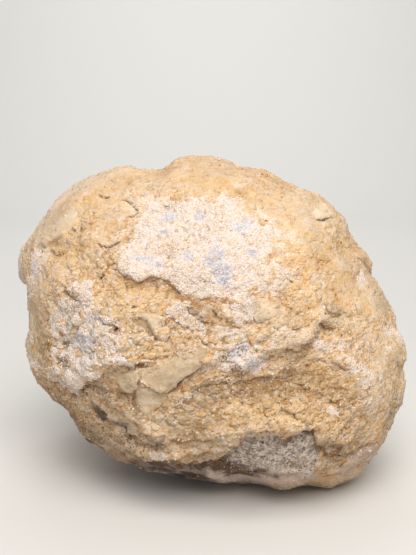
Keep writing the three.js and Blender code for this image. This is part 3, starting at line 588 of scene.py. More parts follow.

# Colours and kinds of ground, each by side, in ovals: place, half length and width, turn and strength.
# Blocky ground is broken into small crystals, fibrous ground into long splinters, and worn ground is smooth
# and dusty.
# Brown, rust and slate are mostly painted shade, and the mauve is partly.
STAINS_AND_SHADE = {
    "brown": {
        # brown: partly the rind's own brown, mostly painted shade in hollows and grooves, under rims and low
        # down
        FRONT: [(250, 391, 11, 2.6, 0, 0.9), (288, 380, 3.5, 2.0, 0, 0.8), (205, 396, 8.0, 3.4, 38, 0.6),
            (195, 424, 9.0, 4.0, 30, 0.5), (226, 356, 1.6, 1.0, 0, 0.7), (255, 349, 3.0, 0.9, -20, 0.6),
            (79, 306, 2.4, 1.2, 30, 0.6), (98, 318, 3.0, 0.9, -45, 0.6), (94, 344, 1.4, 2.2, 20, 0.5),
            (147, 331, 4.2, 0.8, -36, 0.7), (268, 390, 14.0, 3.6, 0, 0.9), (225, 393, 9.0, 3.6, 20, 0.75),
            (235, 422, 14.0, 4.6, 0, 0.22), (196, 312, 3.0, 0.8, -30, 0.8), (213, 311, 2.6, 0.8, -20, 0.7),
            (128, 365, 5.0, 0.8, -6, 1.0), (297, 356, 4.0, 1.6, 30, 0.7), (118, 398, 4.0, 2.4, -45, 0.8),
            (138, 413, 3.0, 1.2, -45, 0.6), (133, 400, 1.0, 4.0, 10, 0.8), (178, 420, 5.0, 2.4, 10, 0.4),
            (186, 440, 6.0, 1.2, 0, 0.4), (62, 410, 9.0, 3.6, -48, 0.9), (88, 436, 10.0, 4.4, -42, 1.0),
            (112, 438, 7.0, 2.4, -36, 0.8), (120, 452, 9.0, 2.8, -22, 0.8), (335, 313, 2.6, 1.6, -20, 0.8),
            (326, 326, 2.8, 1.3, -20, 0.8), (339, 365, 3.0, 1.4, -30, 0.6), (70, 296, 2.2, 1.6, 0, 0.8),
            (62, 363, 1.8, 2.4, 20, 0.8), (112, 328, 2.4, 1.3, -40, 0.7), (43, 345, 1.6, 8.0, 0, 0.6),
            (236, 370, 1.5, 1.0, 0, 1.3), (262, 384, 10.0, 1.6, 6, 0.8), (340, 455, 7.0, 1.8, 40, 0.8),
            (330, 438, 8.0, 2.4, 24, 0.5), (390, 425, 2.0, 8.0, -12, 0.5), (240, 349, 6.0, 0.8, 10, 0.5)],
        BACK: [(-12, -26, 12, 3, -6, 0.7), (18, -34, 14, 3, 6, 0.6), (32, -18, 9, 3, 10, 0.6)],
        LEFT: [(2, -27, 13, 3, 4, 0.7)],
        RIGHT: [(8, -24, 13, 3, 8, 0.6)],
    },
    "rust_and_shade": {
        # rust: mostly painted shade under the plateau's rim and in hollows, partly rusty spots
        FRONT: [(146, 287, 8.0, 2.6, -4, 0.6), (178, 294, 5.0, 1.8, -28, 0.8),
            (208, 304, 7.0, 1.4, -4, 0.8), (204, 316, 9.0, 1.6, -30, 0.7), (186, 322, 6.0, 1.4, -34, 0.6),
            (232, 326, 6.0, 1.6, -30, 0.6), (182, 276, 4.0, 1.6, -10, 0.6), (170, 246, 2.6, 1.8, 0, 0.6),
            (110, 386, 4.0, 2.4, -40, 0.6), (330, 385, 9.0, 3.0, -28, 0.5)],
        BACK: [(8, -10, 12, 3, 20, 0.7), (-20, 4, 9, 2.4, 35, 0.7)],
        LEFT: [(0, -1, 13, 2.4, 14, 0.7)],
        RIGHT: [(0, 3, 13, 2.4, -40, 0.7)],
    },
    "blocky": {
        FRONT: [(82, 330, 9.0, 14.0, 0, 1.0), (206, 322, 9.0, 6.0, -20, 0.9), (240, 358, 6.0, 4.0, 0, 0.4)],
        BACK: [(-30, -2, 10, 8, 0, 0.8), (12, 14, 10, 8, 0, 0.5)],
        LEFT: [(-4, 8, 10, 8, 0, 0.7)],
        RIGHT: [(12, -10, 9, 7, 0, 0.6)],
    },
    "fibrous": {
        FRONT: [(345, 435, 13.0, 9.0, 30, 1.0), (360, 385, 9.0, 9.0, 0, 0.6), (290, 345, 8.0, 3.0, 34, 0.8),
            (265, 320, 5.0, 5.0, 0, 0.6)],
        BACK: [(24, -20, 12, 9, 0, 0.8), (-20, 22, 10, 8, 0, 0.6)],
        LEFT: [(-16, 22, 12, 8, 0, 0.7)],
        RIGHT: [(-14, -12, 12, 12, 0, 0.8)],
    },
    "slate_shade": {
        # slate: painted shadow along the grooves in the lower left and under the swirl
        FRONT: [(99, 413, 2.8, 1.2, -50, 1.4), (120, 426, 3.6, 1.2, -34, 1.4),
            (134, 440, 3.6, 1.2, -28, 0.9), (156, 443, 1.6, 1.2, -50, 1.0), (190, 473, 3.0, 1.8, 0, 0.9),
            (102, 390, 2.2, 0.9, -10, 0.7)],
    },
    "gold": {
        FRONT: [(138, 300, 10.0, 4.4, 0, 0.9), (146, 348, 8.0, 4.4, 20, 0.9), (205, 182, 22.0, 4.6, 0, 1.0),
            (255, 190, 10.0, 5.0, -30, 0.8), (330, 260, 8.0, 12.0, 20, 0.7), (290, 320, 5.0, 3.0, 0, 0.7),
            (120, 300, 10.0, 6.0, 20, 0.8), (180, 430, 12.0, 6.0, 20, 0.8), (250, 410, 14.0, 5.0, 0, 0.8),
            (70, 250, 9.0, 7.0, 48, 0.6), (300, 275, 11.0, 11.0, 0, 0.8), (350, 300, 7.0, 9.0, 0, 0.5),
            (222, 432, 12.0, 2.8, 10, 0.9), (300, 415, 14.0, 5.0, -10, 0.9),
            (310, 370, 11.0, 5.0, -30, 0.8), (385, 315, 4.0, 9.0, 0, 0.8)],
        BACK: [(-6, 14, 14, 9, 20, 0.8), (28, -2, 9, 8, 0, 0.7)],
        LEFT: [(-12, -10, 10, 7, 0, 0.8)],
        RIGHT: [(-6, 10, 12, 8, -10, 0.8)],
        TOP: [(4, 4, 20, 10, 0, 0.7)],
    },
    "orange": {
        FRONT: [(148, 304, 9.0, 3.0, 0, 0.6), (150, 350, 8.0, 3.0, 20, 0.7), (64, 210, 5.4, 1.1, 38, 1.8),
            (285, 300, 6.0, 2.4, -20, 0.6)],
        BACK: [(-4, 16, 9, 4, 20, 0.6)],
    },
    "cream": {
        FRONT: [(57, 208, 9.0, 1.4, 50, 1.2), (92, 180, 6.0, 2.0, 30, 0.8), (58, 222, 6.0, 1.4, 35, 0.8),
            (28, 320, 1.6, 12.0, 0, 0.8), (384, 395, 4.0, 9.0, 0, 0.4), (320, 215, 7.0, 4.0, -40, 0.6),
            (215, 168, 10.0, 2.0, 0, 0.5), (290, 342, 6.0, 2.4, 34, 0.8)],
        TOP: [(-45, 2, 5, 12, 0, 1.0)],
        BACK: [(18, 30, 12, 4, -20, 0.6)],
        LEFT: [(16, 20, 10, 5, -20, 0.6)],
        RIGHT: [(20, 14, 8, 7, 0, 0.6)],
    },
    "chalk": {
        FRONT: [(55, 206, 10.0, 1.8, 50, 1.0), (322, 212, 4.6, 4.0, 0, 0.8), (331, 229, 3.4, 3.4, 0, 0.8),
            (298, 196, 6.4, 3.0, -10, 0.8), (240, 182, 5.0, 3.0, 0, 0.8), (125, 208, 4.4, 3.0, 0, 0.5),
            (150, 401, 4.6, 3.4, -30, 0.8), (118, 418, 6.6, 2.0, -40, 1.0), (265, 305, 4.0, 1.4, -20, 0.8),
            (290, 342, 6.0, 2.4, 34, 0.6)],
    },
    "worn": {
        TOP: [(-34, 2, 9, 14, 0, 1.0), (-6, 10, 24, 12, 0, 0.6)],
        FRONT: [(290, 225, 16.0, 12.0, -40, 1.0), (210, 180, 24.0, 5.0, 0, 0.9),
            (110, 195, 14.0, 8.0, 30, 0.8), (350, 280, 10.0, 16.0, 20, 0.8), (60, 250, 12.0, 12.0, 0, 0.5),
            (62, 212, 13.0, 5.6, 48, 1.3), (96, 182, 9.0, 4.6, 30, 1.2), (215, 172, 34.0, 4.4, 0, 1.0),
            (385, 400, 6.0, 14.0, 0, 0.6), (390, 350, 5.0, 10.0, 0, 0.7), (36, 310, 3.4, 18.0, 0, 0.8),
            (170, 474, 18.0, 2.6, -8, 0.9), (265, 480, 20.0, 2.6, 0, 0.9)],
        BACK: [(-4, 24, 16, 10, 0, 0.7), (30, 18, 9, 12, 20, 0.9)],
        LEFT: [(-14, 24, 12, 8, 0, 0.7)],
        RIGHT: [(-10, 22, 12, 8, 0, 0.7)],
    },
    "beige": {
        FRONT: [(260, 312, 6.0, 4.0, 0, 0.7), (286, 345, 7.0, 3.0, 34, 0.6), (160, 425, 7.0, 4.0, 10, 0.6),
            (188, 345, 6.0, 3.0, 20, 0.5), (205, 440, 8.0, 2.0, 0, 0.5), (150, 186, 7.0, 3.0, 0, 0.5),
            (50, 225, 7.0, 4.0, 48, 0.7)],
        BACK: [(-26, 22, 9, 6, 30, 0.7)],
    },
    # mauve on the foot and the underside, partly painted shade under the stone
    "mauve": {
        FRONT: [(230, 486, 26.0, 1.4, -2, 0.7)],
        UNDER: [(0, 0, 34, 20, 0, 0.8)],
    },
    "pink": {
        FRONT: [(58, 200, 3.0, 0.5, 50, 0.6)],
    },
    "tan": {
        FRONT: [(215, 168, 24.0, 5.4, 0, 1.1), (125, 176, 10.0, 4.4, 20, 0.8),
            (295, 190, 14.0, 5.6, -32, 0.9), (63, 211, 5.4, 1.0, 40, 1.0), (74, 201, 4.0, 0.8, 40, 0.8),
            (46, 236, 5.0, 1.2, 48, 0.6), (112, 220, 6.4, 9.0, 0, 0.65), (342, 250, 9.0, 11.0, 20, 0.6)],
        BACK: [(30, 22, 8, 7, 20, 0.6)],
    },
    "grey": {
        UNDER: [(-8, 16, 14, 7, 0, 0.6)],
    },
}

# The marks, which the skin stores at every point for its finish, its flakes and its grains.
MARKS = (
    "quartz", "blue", "clay", "brown", "rust_and_shade", "slate_shade", "gold", "orange", "cream", "beige", "mauve", "grey",
    "pale", "pink", "worn", "blocky", "fibrous", "chalk", "tan")


# ---------------------------------------------------------------- carving the skin


def only(piece):
    """Selects one piece alone and makes it the active one."""
    bpy.ops.object.select_all(action="DESELECT")
    bpy.context.view_layer.objects.active = piece
    piece.select_set(True)


def apply(piece, kind, **settings):
    """Adds a modifier with these settings and applies it."""
    only(piece)
    bpy.ops.object.modifier_add(type=kind)
    modifier = piece.modifiers[-1]
    for name, value in settings.items():
        setattr(modifier, name, value)
    bpy.ops.object.modifier_apply(modifier=modifier.name)


def vectors(items, name):
    """One row of three numbers from each item."""
    found = np.empty(len(items) * 3, np.float32)
    items.foreach_get(name, found)
    return found.reshape(-1, 3).astype(float)


def move_to(piece, p):
    """Moves the piece's points to places in millimetres."""
    piece.data.vertices.foreach_set("co", (p * MM).astype(np.float32).ravel())
    piece.data.update()


def shape_of(piece):
    """The piece's points in millimetres, and which way its skin faces at each."""
    mesh = piece.data
    return vectors(mesh.vertices, "co") / MM, vectors(mesh.vertex_normals, "vector")


def store(piece, name, values):
    """Keeps a number for every point of the piece, for its finish to read."""
    layer = piece.data.attributes.new(name, "FLOAT", "POINT")
    layer.data.foreach_set("value", values.astype(np.float32))


def uncut_skin():
    """The stone's own surface as a new piece, joined up and divided finely enough to carve."""
    skin = bpy.data.objects.new("nodule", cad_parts["geode"].data.copy())
    bpy.context.scene.collection.objects.link(skin)
    skin.data.materials.clear()
    only(skin)
    bpy.ops.object.mode_set(mode="EDIT")
    bpy.ops.mesh.select_all(action="SELECT")
    bpy.ops.mesh.remove_doubles(threshold=1e-6)
    bpy.ops.object.mode_set(mode="OBJECT")
    apply(skin, "SUBSURF", levels=SKIN_DIVISIONS, render_levels=SKIN_DIVISIONS)
    return skin


class Charts:
    """Where the skin's points show on each side's plate, with ragged copies for torn edges."""

    def __init__(self, p, normals):
        tear = 1.3 * np.stack([rough(p, 3.6, 50, 4), rough(p, 3.6, 60, 4)], 1)
        tear += 0.35 * np.stack([noise(p, 1.3, 56), noise(p, 1.3, 66)], 1)
        self.seen = {}
        for side in SIDES:
            facing = side.facing(normals)
            picked = np.flatnonzero(facing)
            plate = side.plate(p[picked])
            self.seen[side] = (picked, facing[picked], plate, plate + tear[picked])
        self.count = len(p)

    def lay(self, side, height, ragged=True):
        """height(spots) for the points that face the side, and 0 for the rest."""
        picked, facing, plain, frayed = self.seen[side]
        total = np.zeros(self.count)
        total[picked] = height(frayed if ragged else plain) * facing
        return total


def marks(charts, p):
    """How much of each mark every point has: 0 for none, 1 for all, and more where an oval is strong."""
    found = {name: np.zeros(len(p)) for name in MARKS}
    broken = smooth(-0.1, 0.35, rough(p, 2.6, 90))
    frayed = 0.16 * rough(p, 1.6, 93)
    chipped = smooth(0.0, 0.3, rough(p, 2.0, 96))
    for side, cover, edge, gaps, outline in drawn(QUARTZ):
        layer = charts.lay(side, lambda s: cover * smooth(-edge, edge, inside(s, outline)))
        found["quartz"] = np.maximum(found["quartz"], layer * (1 - gaps * broken))
    for side, name, edge, outline in drawn(CRUSTS):
        layer = charts.lay(side, lambda s: smooth(-edge, edge, inside(s, outline)))
        found[name] = np.maximum(found[name], layer)
    for side, at, size, turn, strength in ovals(BLUES):
        layer = charts.lay(side, lambda s: spot(s, at, size, turn))
        found["blue"] = np.maximum(found["blue"], strength * smooth(0.2, 0.6, layer + frayed))
    for side, cover, _, outline in drawn(CLAY):
        depth = charts.lay(side, lambda s: np.maximum(inside(s, outline) + 1, 0))
        fringe = chipped * smooth(3.4, 1.6, depth) * (1 if cover < 1 else 0.4)
        layer = cover * smooth(0.75, 1.25, depth) * (1 - fringe)
        found["clay"] = np.maximum(found["clay"], layer)
    for name, places in STAINS_AND_SHADE.items():
        for side, at, size, turn, strength in ovals(places):
            layer = charts.lay(side, lambda s: strength * spot(s, at, size, turn))
            found[name] = np.maximum(found[name], layer)
    return found


def ledge(spots, rise, reach, drop, below, line):
    """The height of a ledge at each plate spot."""
    off, from_end = by_line(spots, line)
    up = rise * np.exp(-np.maximum(off, 0) / reach)
    down = -drop * np.exp(np.minimum(off, 0) / below)
    return (down + (up - down) * smooth(-EDGE_WIDTH, EDGE_WIDTH, off)) * smooth(0, LEDGE_TAPER, from_end)


def crack(spots, half_width, depth, line):
    """The height of a crack at each plate spot, 0 or less."""
    off, from_end = by_line(spots, line)
    return -depth * (1 - smooth(0.3, 1.3, np.abs(off) / half_width)) * smooth(0, 1, from_end)


def placed_relief(charts):
    """The height of the ledges, the swellings and the clay plates."""
    total = np.zeros(charts.count)
    for side, rise, reach, drop, below, line in drawn(LEDGES):
        total += charts.lay(side, lambda s: ledge(s, rise, reach, drop, below, line))
    for side, at, size, turn, height in ovals(SWELLS):
        total += charts.lay(side, lambda s: height * spot(s, at, size, turn))
    for side, _, lift, outline in drawn(CLAY):
        total += charts.lay(side, lambda s: lift * smooth(-0.3, 0.3, inside(s, outline)))
    return total


def press_plates(charts, p):
    """Presses each clay plate to a gently curved face of its own."""
    p = p.copy()
    for side, cover, _, outline in drawn(CLAY):
        share = charts.lay(side, lambda s: cover * smooth(-1.8, 1.0, inside(s, outline)))
        held = np.flatnonzero(share > 0)
        if len(held) < 20:
            continue
        q = p[held] - MIDDLE
        x, y, height = q @ side.right, q @ side.up, q @ side.out
        x0, y0 = x.mean(), y.mean()
        x, y = x - x0, y - y0
        terms = np.stack([np.ones_like(x), x, y, x * x, x * y, y * y], 1)
        weight = share[held]
        fit = np.linalg.lstsq(terms * weight[:, None], height * weight, rcond=None)[0]
        p[held] += side.out * (PLATE_FIRMNESS * weight * (terms @ fit - height))[:, None]
    return p


def cracked(charts):
    """The height of all the cracks."""
    total = np.zeros(charts.count)
    for side, half_width, depth, line in drawn(CRACKS):
        cut = charts.lay(side, lambda s: crack(s, half_width, depth, line), ragged=False)
        total = np.minimum(total, cut)
    return total


def tone_of(p, mark):
    """The rind's own colour at every point, as a place on the row of tones."""
    tone = 0.63 + 0.07 * noise(p, 11, 30) + 0.07 * noise(p, 4.2, 31) + 0.05 * noise(p, 2, 32)
    tone += 0.11 * mark["orange"] * smooth(-0.6, 0.4, noise(p, 3.4, 33)) - 0.14 * mark["cream"]
    tone += 0.14 * smooth(0.3, 0.7, noise(p, 3, 34))
    return tone - 0.24 * smooth(0.4, 0.6, rough(p, 2.6, 35))


def broken_relief(p, mark):
    """Chip scars, flaking layers, crystals and pits, in millimetres. Each form is written as its height
    times its kind, with its size and then a seed."""
    bare = 1 - mark["clay"]
    quartz = mark["quartz"]
    rough_ground = (1 - 0.6 * mark["worn"]) * (1 - 0.6 * mark["mauve"]) * (1 - 0.4 * mark["grey"])
    rind = bare * (1 - quartz) * rough_ground
    bent = p + 0.8 * np.stack([noise(p, 3, 80), noise(p, 3, 81), noise(p, 3, 82)], 1)
    layered = bent * LAYER_STRETCH
    broad = 0.4 * scallops(bent, 7.5, 3) + 0.3 * flakes(layered, 7, 4, 5)
    height = bare * broad * (1 - 0.3 * mark["worn"])
    near, number = lumps(p, 1.7, 11)
    pits = smooth(0.42, 0.12, near) * (CHANCES[number] < 0.22)
    height += rind * (0.24 * scallops(layered, 3.4, 4) + 0.24 * torn(layered, 2.8, 7) - 0.3 * pits)
    height += rind * (0.15 * noise(layered, 1.3, 21) + 0.08 * noise(p, 0.75, 22))
    fibres = bent - (FIBRE_STRETCH * (bent @ FIBRES))[:, None] * FIBRES
    height += mark["fibrous"] * bare * (0.3 * torn(fibres, 2.4, 41) + 0.12 * noise(fibres, 0.9, 44))
    height += mark["blocky"] * bare * (0.55 * scallops(bent, 3.4, 45, 0.6) + 0.3 * torn(p, 2.4, 46))
    knobs = smooth(0.8, 0.1, near) * (0.3 + CHANCES[number])
    crystals = 0.15 + 0.14 * knobs - 0.3 * pits + 0.2 * torn(p, 2.8, 26) + 0.07 * noise(p, 0.8, 23)
    height += bare * quartz * crystals
    clay = 0.1 * noise(p, 4, 24) + 0.12 * flakes(layered, 3, 2, 9) + 0.06 * torn(p, 1.4, 27)
    height += mark["clay"] * clay
    height += mark["clay"] * 0.12 * noise(fibres, 1.1, 28)
    return height


def carve(skin):
    """Carves all the relief into the skin, inside the stone's own box, and stores the marks on it."""
    p, normals = shape_of(skin)
    charts = Charts(p, normals)
    mark = marks(charts, p)
    firm = smooth(*FOOT_EASE, p[:, 2])
    pressed = press_plates(charts, p)
    p = p + (pressed - p) * firm[:, None]
    p = p + normals * (placed_relief(charts) * firm)[:, None]
    move_to(skin, p)
    _, normals = shape_of(skin)
    cracks = cracked(charts)
    p = p + normals * ((broken_relief(p, mark) + cracks) * firm)[:, None]
    p[:, 2] = np.maximum(p[:, 2], 0)
    low, high = (np.array(corner) / MM for corner in cad_box)
    move_to(skin, np.clip(p, low, high))
    mark["tone"] = tone_of(p, mark)
    for name, values in mark.items():
        store(skin, name, values)
    store(skin, "crack", np.clip(-cracks / CRACK_DEPTH, 0, 1))


def thin_out(skin):
    """Thins the skin to SKIN_TRIANGLES."""
    triangles = sum(len(face.vertices) - 2 for face in skin.data.polygons)
    apply(skin, "DECIMATE", ratio=SKIN_TRIANGLES / triangles)


def neighbours_mean(values, edges):
    """For each point, the mean of the points that its edges lead to."""
    total = np.zeros_like(values)
    count = np.bincount(edges.ravel(), minlength=len(values))
    for axis in range(values.shape[1]):
        total[:, axis] = np.bincount(edges[:, 0], values[edges[:, 1], axis], len(values))
        total[:, axis] += np.bincount(edges[:, 1], values[edges[:, 0], axis], len(values))
    return total / np.maximum(count, 1)[:, None]


def mark_hollows(skin):
    """Stores how deep each point lies below the skin around it, for the painted shade and dirt in its
    hollows and the paler cream on its high spots.
    """
    p, normals = shape_of(skin)
    edges = np.empty(len(skin.data.edges) * 2, np.int32)
    skin.data.edges.foreach_get("vertices", edges)
    edges = edges.reshape(-1, 2)
    even = p
    for _ in range(FINE_HOLLOW_ROUNDS):
        even = neighbours_mean(even, edges)
    fine = ((even - p) * normals).sum(1)
    for _ in range(RECESS_ROUNDS):
        even = neighbours_mean(even, edges)
    broad = ((even - p) * normals).sum(1)
    store(skin, "hollow", np.clip(0.5 + fine * FINE_HOLLOW_GAIN, 0, 1))
    store(skin, "recess", np.clip(0.5 + broad * RECESS_GAIN, 0, 1))


# ---------------------------------------------------------------- finishes


def srgb(red, green, blue):
    """A colour given as it looks on screen, 0 to 255, in the linear numbers that a finish takes."""
    c = np.array([red, green, blue]) / 255
    return (*np.where(c <= 0.04045, c / 12.92, ((c + 0.055) / 1.055) ** 2.4), 1)


class Finish:
    """A material's nodes, made by name."""

    def __init__(self, name):
        self.material = bpy.data.materials.new(name)
        self.material.use_nodes = True
        self.tree = self.material.node_tree
        self.shader = self.tree.nodes["Principled BSDF"]
        self.place = self.node("ShaderNodeTexCoord").outputs["Object"]

    def node(self, kind, **settings):
        """A new node with these settings."""
        made = self.tree.nodes.new(kind)
        for name, value in settings.items():
            setattr(made, name, value)
        return made

    def feed(self, socket, value):
        """Gives a socket another node's result, or a plain value."""
        if isinstance(value, bpy.types.NodeSocket):
            self.tree.links.new(value, socket)
        else:
            socket.default_value = value

    def stretched(self, turn, scale):
        """The place, turned by angles in radians and then stretched along its own axes."""
        made = self.node("ShaderNodeMapping", vector_type="TEXTURE")
        self.feed(made.inputs["Vector"], self.place)
        self.feed(made.inputs["Rotation"], turn)
        self.feed(made.inputs["Scale"], scale)
        return made.outputs[0]

    def noise(self, size, detail=3, roughness=0.55, distortion=0.0, place=None):
        """Soft patches about size across in millimetres, with values about 0.5."""
        made = self.node("ShaderNodeTexNoise")
        self.feed(made.inputs["Vector"], place or self.place)
        self.feed(made.inputs["Scale"], 1 / (size * MM))
        self.feed(made.inputs["Detail"], detail)
        self.feed(made.inputs["Roughness"], roughness)
        self.feed(made.inputs["Distortion"], distortion)
        return made.outputs["Fac"]

    def grains(self, size, place):
        """How far each place is from the middle of its own grain, and a number for the grain, about 0.5."""
        made = self.node("ShaderNodeTexVoronoi")
        self.feed(made.inputs["Vector"], place)
        self.feed(made.inputs["Scale"], 1 / (size * MM))
        return made.outputs["Distance"], made.outputs["Color"]

    def mark(self, name):
        """What was stored on the piece under this name."""
        return self.node("ShaderNodeAttribute", attribute_name=name).outputs["Fac"]

    def sums(self, operation, first, *others):
        """The operation on the first two, then on its result and the next, and so on."""
        for other in others:
            made = self.node("ShaderNodeMath", operation=operation)
            self.feed(made.inputs[0], first)
            self.feed(made.inputs[1], other)
            first = made.outputs[0]
        return first

    def plus(self, *parts):
        return self.sums("ADD", *parts)

    def less(self, *parts):
        return self.sums("SUBTRACT", *parts)

    def times(self, *parts):
        return self.sums("MULTIPLY", *parts)

    def ease(self, value, low, high, bottom=0.0, top=1.0):
        """Goes softly from bottom to top as the value goes from low to high."""
        made = self.node("ShaderNodeMapRange", interpolation_type="SMOOTHSTEP")
        given = {"Value": value, "From Min": low, "From Max": high, "To Min": bottom, "To Max": top}
        for name, number in given.items():
            self.feed(made.inputs[name], number)
        return made.outputs[0]

    def mix(self, share, a, b):
        """From the first colour to the second as the share goes from 0 to 1."""
        made = self.node("ShaderNodeMix", data_type="RGBA")
        self.feed(made.inputs[0], share)
        self.feed(made.inputs[6], a)
        self.feed(made.inputs[7], b)
        return made.outputs[2]

    def toned(self, tone):
        """The colour that stands at a tone."""
        ramp = self.node("ShaderNodeValToRGB")
        stops = ramp.color_ramp.elements
        while len(stops) < len(TONES):
            stops.new(0.5)
        for stop, (at, colour) in zip(stops, TONES):
            stop.position = at
            stop.color = colour
        self.feed(ramp.inputs[0], tone)
        return ramp.outputs[0]


OCHRE = srgb(224, 188, 143)
SAND = srgb(223, 199, 169)
ORANGE = srgb(220, 168, 111)
RUST = srgb(166, 122, 80)
GOLD = srgb(234, 193, 131)
CREAM = srgb(238, 220, 200)
BEIGE = srgb(203, 184, 162)
LILAC = srgb(215, 199, 203)
CLAY_BEIGE = srgb(188, 163, 130)
CLAY_PALE = srgb(204, 181, 150)
# mostly the painted shade under the plateau's rim, in a rusty orange brown
RUSTY_SHADE = srgb(188, 148, 106)
PIT = srgb(150, 126, 104)  # painted shade between the quartz's crystals and in its hollows
TAN = srgb(200, 165, 124)
CHALK = srgb(232, 211, 182)
SHADE = srgb(163, 126, 86)  # painted shade: the orange brown that the rind's crevices and hollows show in shade
# the rind's darkest brown, and also the colour of the painted shade that the brown mark lays
EARTH_AND_SHADE = srgb(124, 101, 74)
UMBER = srgb(84, 64, 46)
MILK = srgb(228, 216, 214)
BLUE_GREY = srgb(184, 183, 190)
# the mauve crust's colours, darkened as painted shade of the stone's underside
MAUVE_IN_SHADE = srgb(54, 42, 37)
PALE_MAUVE_IN_SHADE = srgb(102, 80, 71)
# painted shadow along the grooves
SLATE_SHADE = srgb(78, 72, 70)
ASH = srgb(138, 128, 122)
ASH_PALE = srgb(222, 210, 200)
PALE = srgb(186, 168, 160)
PINK = srgb(214, 140, 136)
FLINT = srgb(112, 96, 90)
SUGAR = srgb(222, 218, 222)

# The row of tones, from 0 to 1: quartz below about 0.4, and the rind above that.
TONES = [
    (0.02, FLINT), (0.12, BLUE_GREY), (0.22, SUGAR), (0.32, MILK), (0.44, CREAM), (0.56, SAND),
    (0.68, OCHRE), (0.79, ORANGE), (0.90, RUST), (0.98, EARTH_AND_SHADE)]


